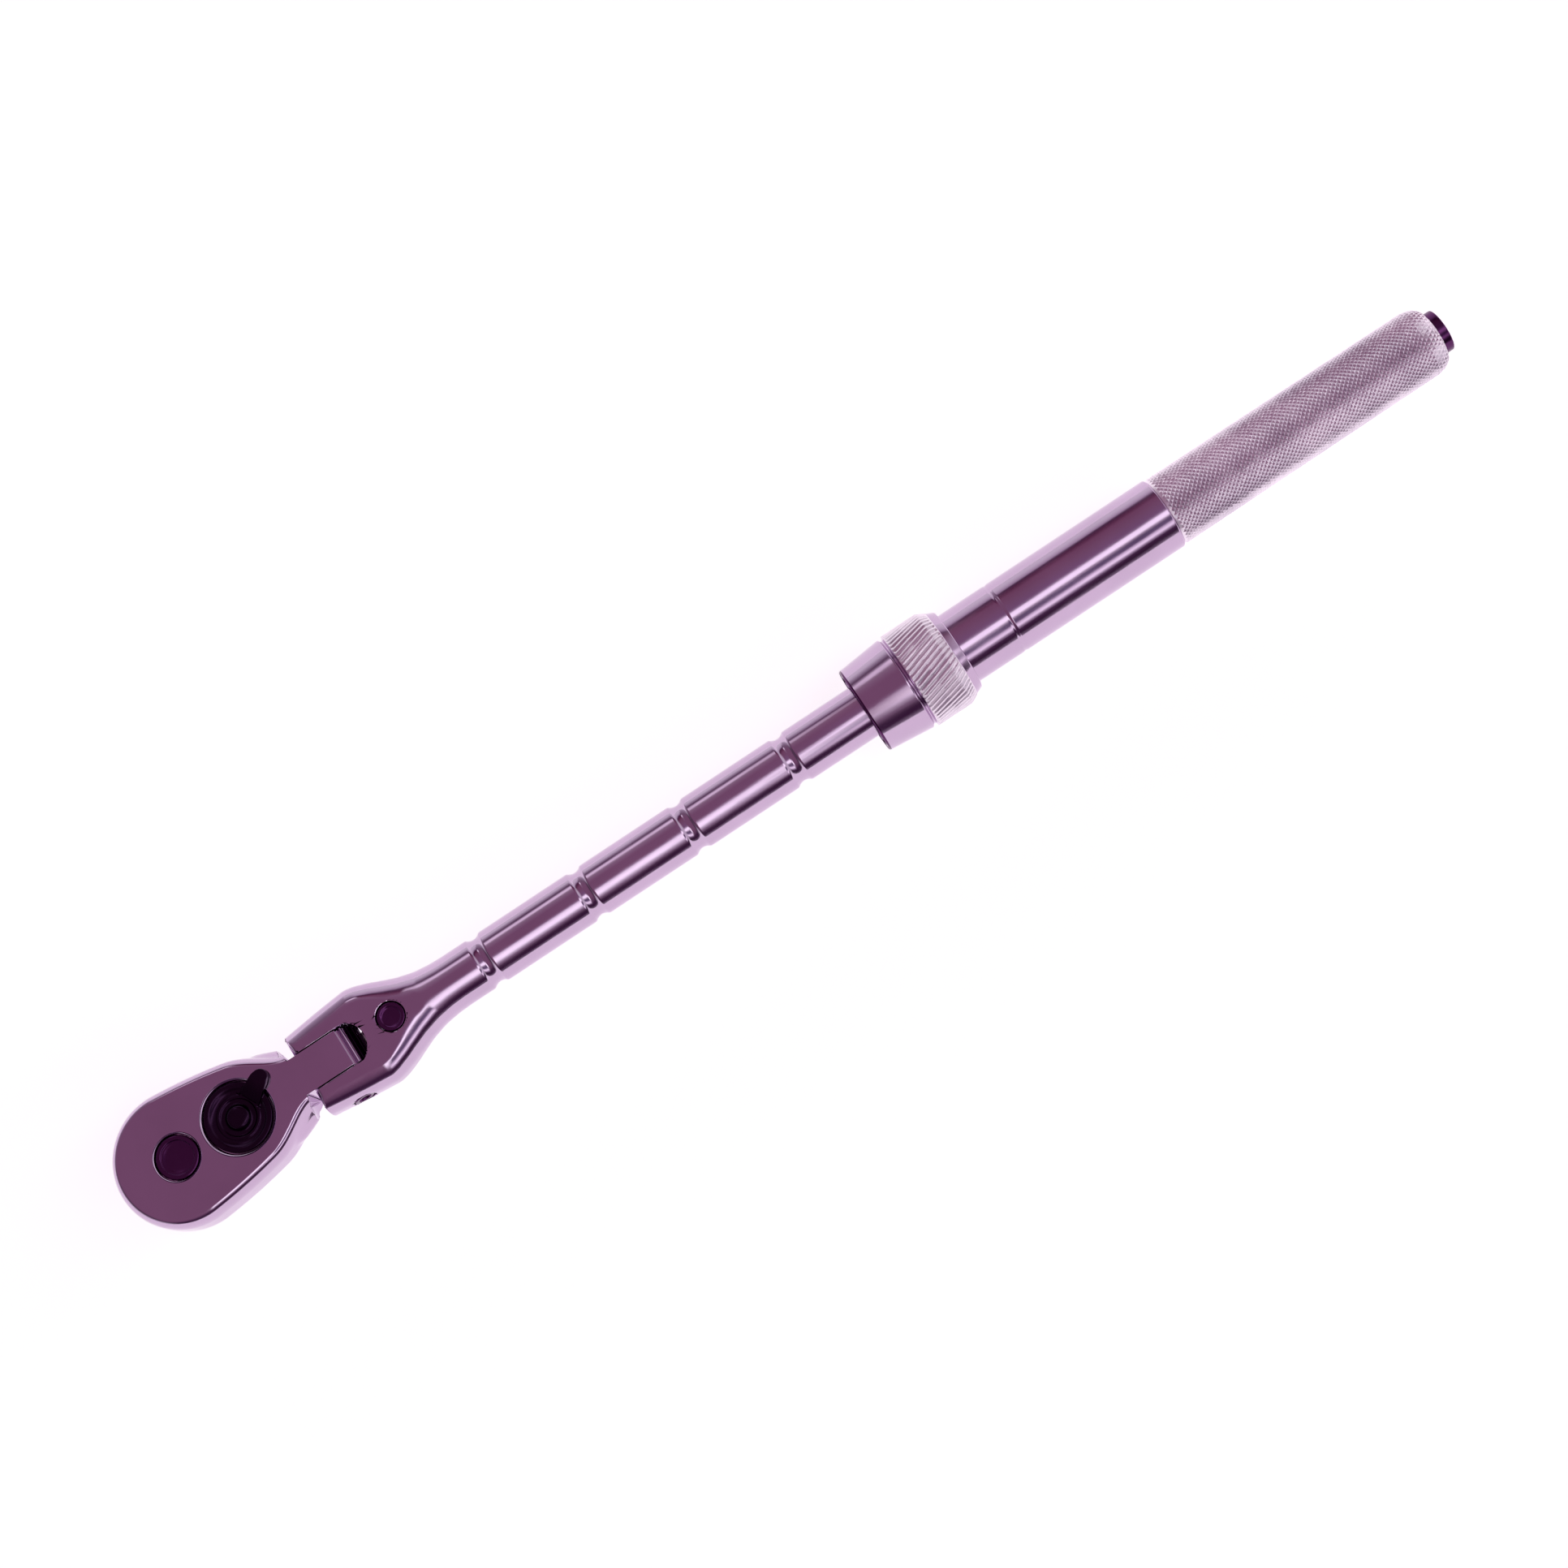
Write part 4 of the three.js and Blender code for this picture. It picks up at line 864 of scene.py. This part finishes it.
def studio_light():
    """World of soft boxes for reflections and plain white for the camera."""
    world = bpy.data.worlds.new("studio")
    bpy.context.scene.world = world
    world.use_nodes = True
    nodes, links = world.node_tree.nodes, world.node_tree.links
    coordinates = nodes.new("ShaderNodeTexCoord")
    split = nodes.new("ShaderNodeSeparateXYZ")
    links.new(coordinates.outputs["Generated"], split.inputs["Vector"])
    towards = nodes.new("ShaderNodeMath")
    towards.operation = "MULTIPLY"
    towards.inputs[1].default_value = -1
    links.new(split.outputs["Y"], towards.inputs[0])
    angle = nodes.new("ShaderNodeMath")
    angle.operation = "ARCTAN2"
    links.new(towards.outputs["Value"], angle.inputs[0])
    links.new(split.outputs["Z"], angle.inputs[1])
    unit = nodes.new("ShaderNodeMapRange")
    unit.inputs["From Min"].default_value = -math.pi
    unit.inputs["From Max"].default_value = math.pi
    links.new(angle.outputs["Value"], unit.inputs["Value"])

    def band_colours(bands):
        ramp = nodes.new("ShaderNodeValToRGB")
        elements = ramp.color_ramp.elements
        elements.remove(elements[-1])
        for i, (degrees, colour) in enumerate(bands):
            element = elements[0] if i == 0 else elements.new((degrees + 180) / 360)
            element.position = (degrees + 180) / 360
            element.color = (*colour, 1)
        links.new(unit.outputs["Result"], ramp.inputs["Fac"])
        return ramp.outputs["Color"]

    def fade(socket, start, end):
        """0 before start, 1 after end, smooth between."""
        step = nodes.new("ShaderNodeMapRange")
        step.interpolation_type = "SMOOTHSTEP"
        step.inputs["From Min"].default_value = start
        step.inputs["From Max"].default_value = end
        links.new(socket, step.inputs["Value"])
        return step.outputs["Result"]

    def mix(factor, first, second):
        blend = nodes.new("ShaderNodeMix")
        blend.data_type = "RGBA"
        links.new(factor, blend.inputs["Factor"])
        for socket, value in ((blend.inputs["A"], first), (blend.inputs["B"], second)):
            if isinstance(value, tuple):
                socket.default_value = (*value, 1)
            else:
                links.new(value, socket)
        return blend.outputs["Result"]

    x = split.outputs["X"]
    colour = mix(fade(x, -0.18, -0.13), band_colours(NO_BOX), band_colours(ONE_BOX))
    colour = mix(fade(x, -0.02, 0.06), colour, band_colours(TWO_BOXES))
    colour = mix(fade(x, 0.72, 0.92), colour, (0.78, 0.74, 0.78))
    low_light = mix(fade(split.outputs["Z"], 0.04, 0.3), (0.8, 0.77, 0.8), (0.12, 0.07, 0.11))
    colour = mix(fade(x, -0.92, -0.7), low_light, colour)
    rays = nodes.new("ShaderNodeLightPath")
    colour = mix(rays.outputs["Is Camera Ray"], colour, (1.0, 1.0, 1.0))
    links.new(colour, nodes["Background"].inputs["Color"])


def camera():
    """Looks down on the handle from its -Y side, with the handle running up to the right."""
    tilt, roll = math.radians(13.7), math.radians(33.46)
    distance = 0.93
    back = Vector((0, -math.sin(tilt), math.cos(tilt)))
    across = Vector((0, math.cos(tilt), math.sin(tilt)))
    handle = Vector((1, 0, 0))
    right = handle * math.cos(roll) - across * math.sin(roll)
    up = handle * math.sin(roll) + across * math.cos(roll)
    target = Vector((0.1999, -0.0048, AXIS_Z * MM))
    data = bpy.data.cameras.new("camera")
    data.sensor_width = 36
    data.lens = 75.55
    data.clip_start, data.clip_end = 0.01, 50
    obj = bpy.data.objects.new("camera", data)
    bpy.context.scene.collection.objects.link(obj)
    basis = Matrix((right, up, back)).transposed().to_4x4()
    obj.matrix_world = Matrix.Translation(target + back * distance) @ basis
    bpy.context.scene.camera = obj


stage_floor()
studio_light()
camera()
bpy.context.scene.view_settings.view_transform = "Standard"
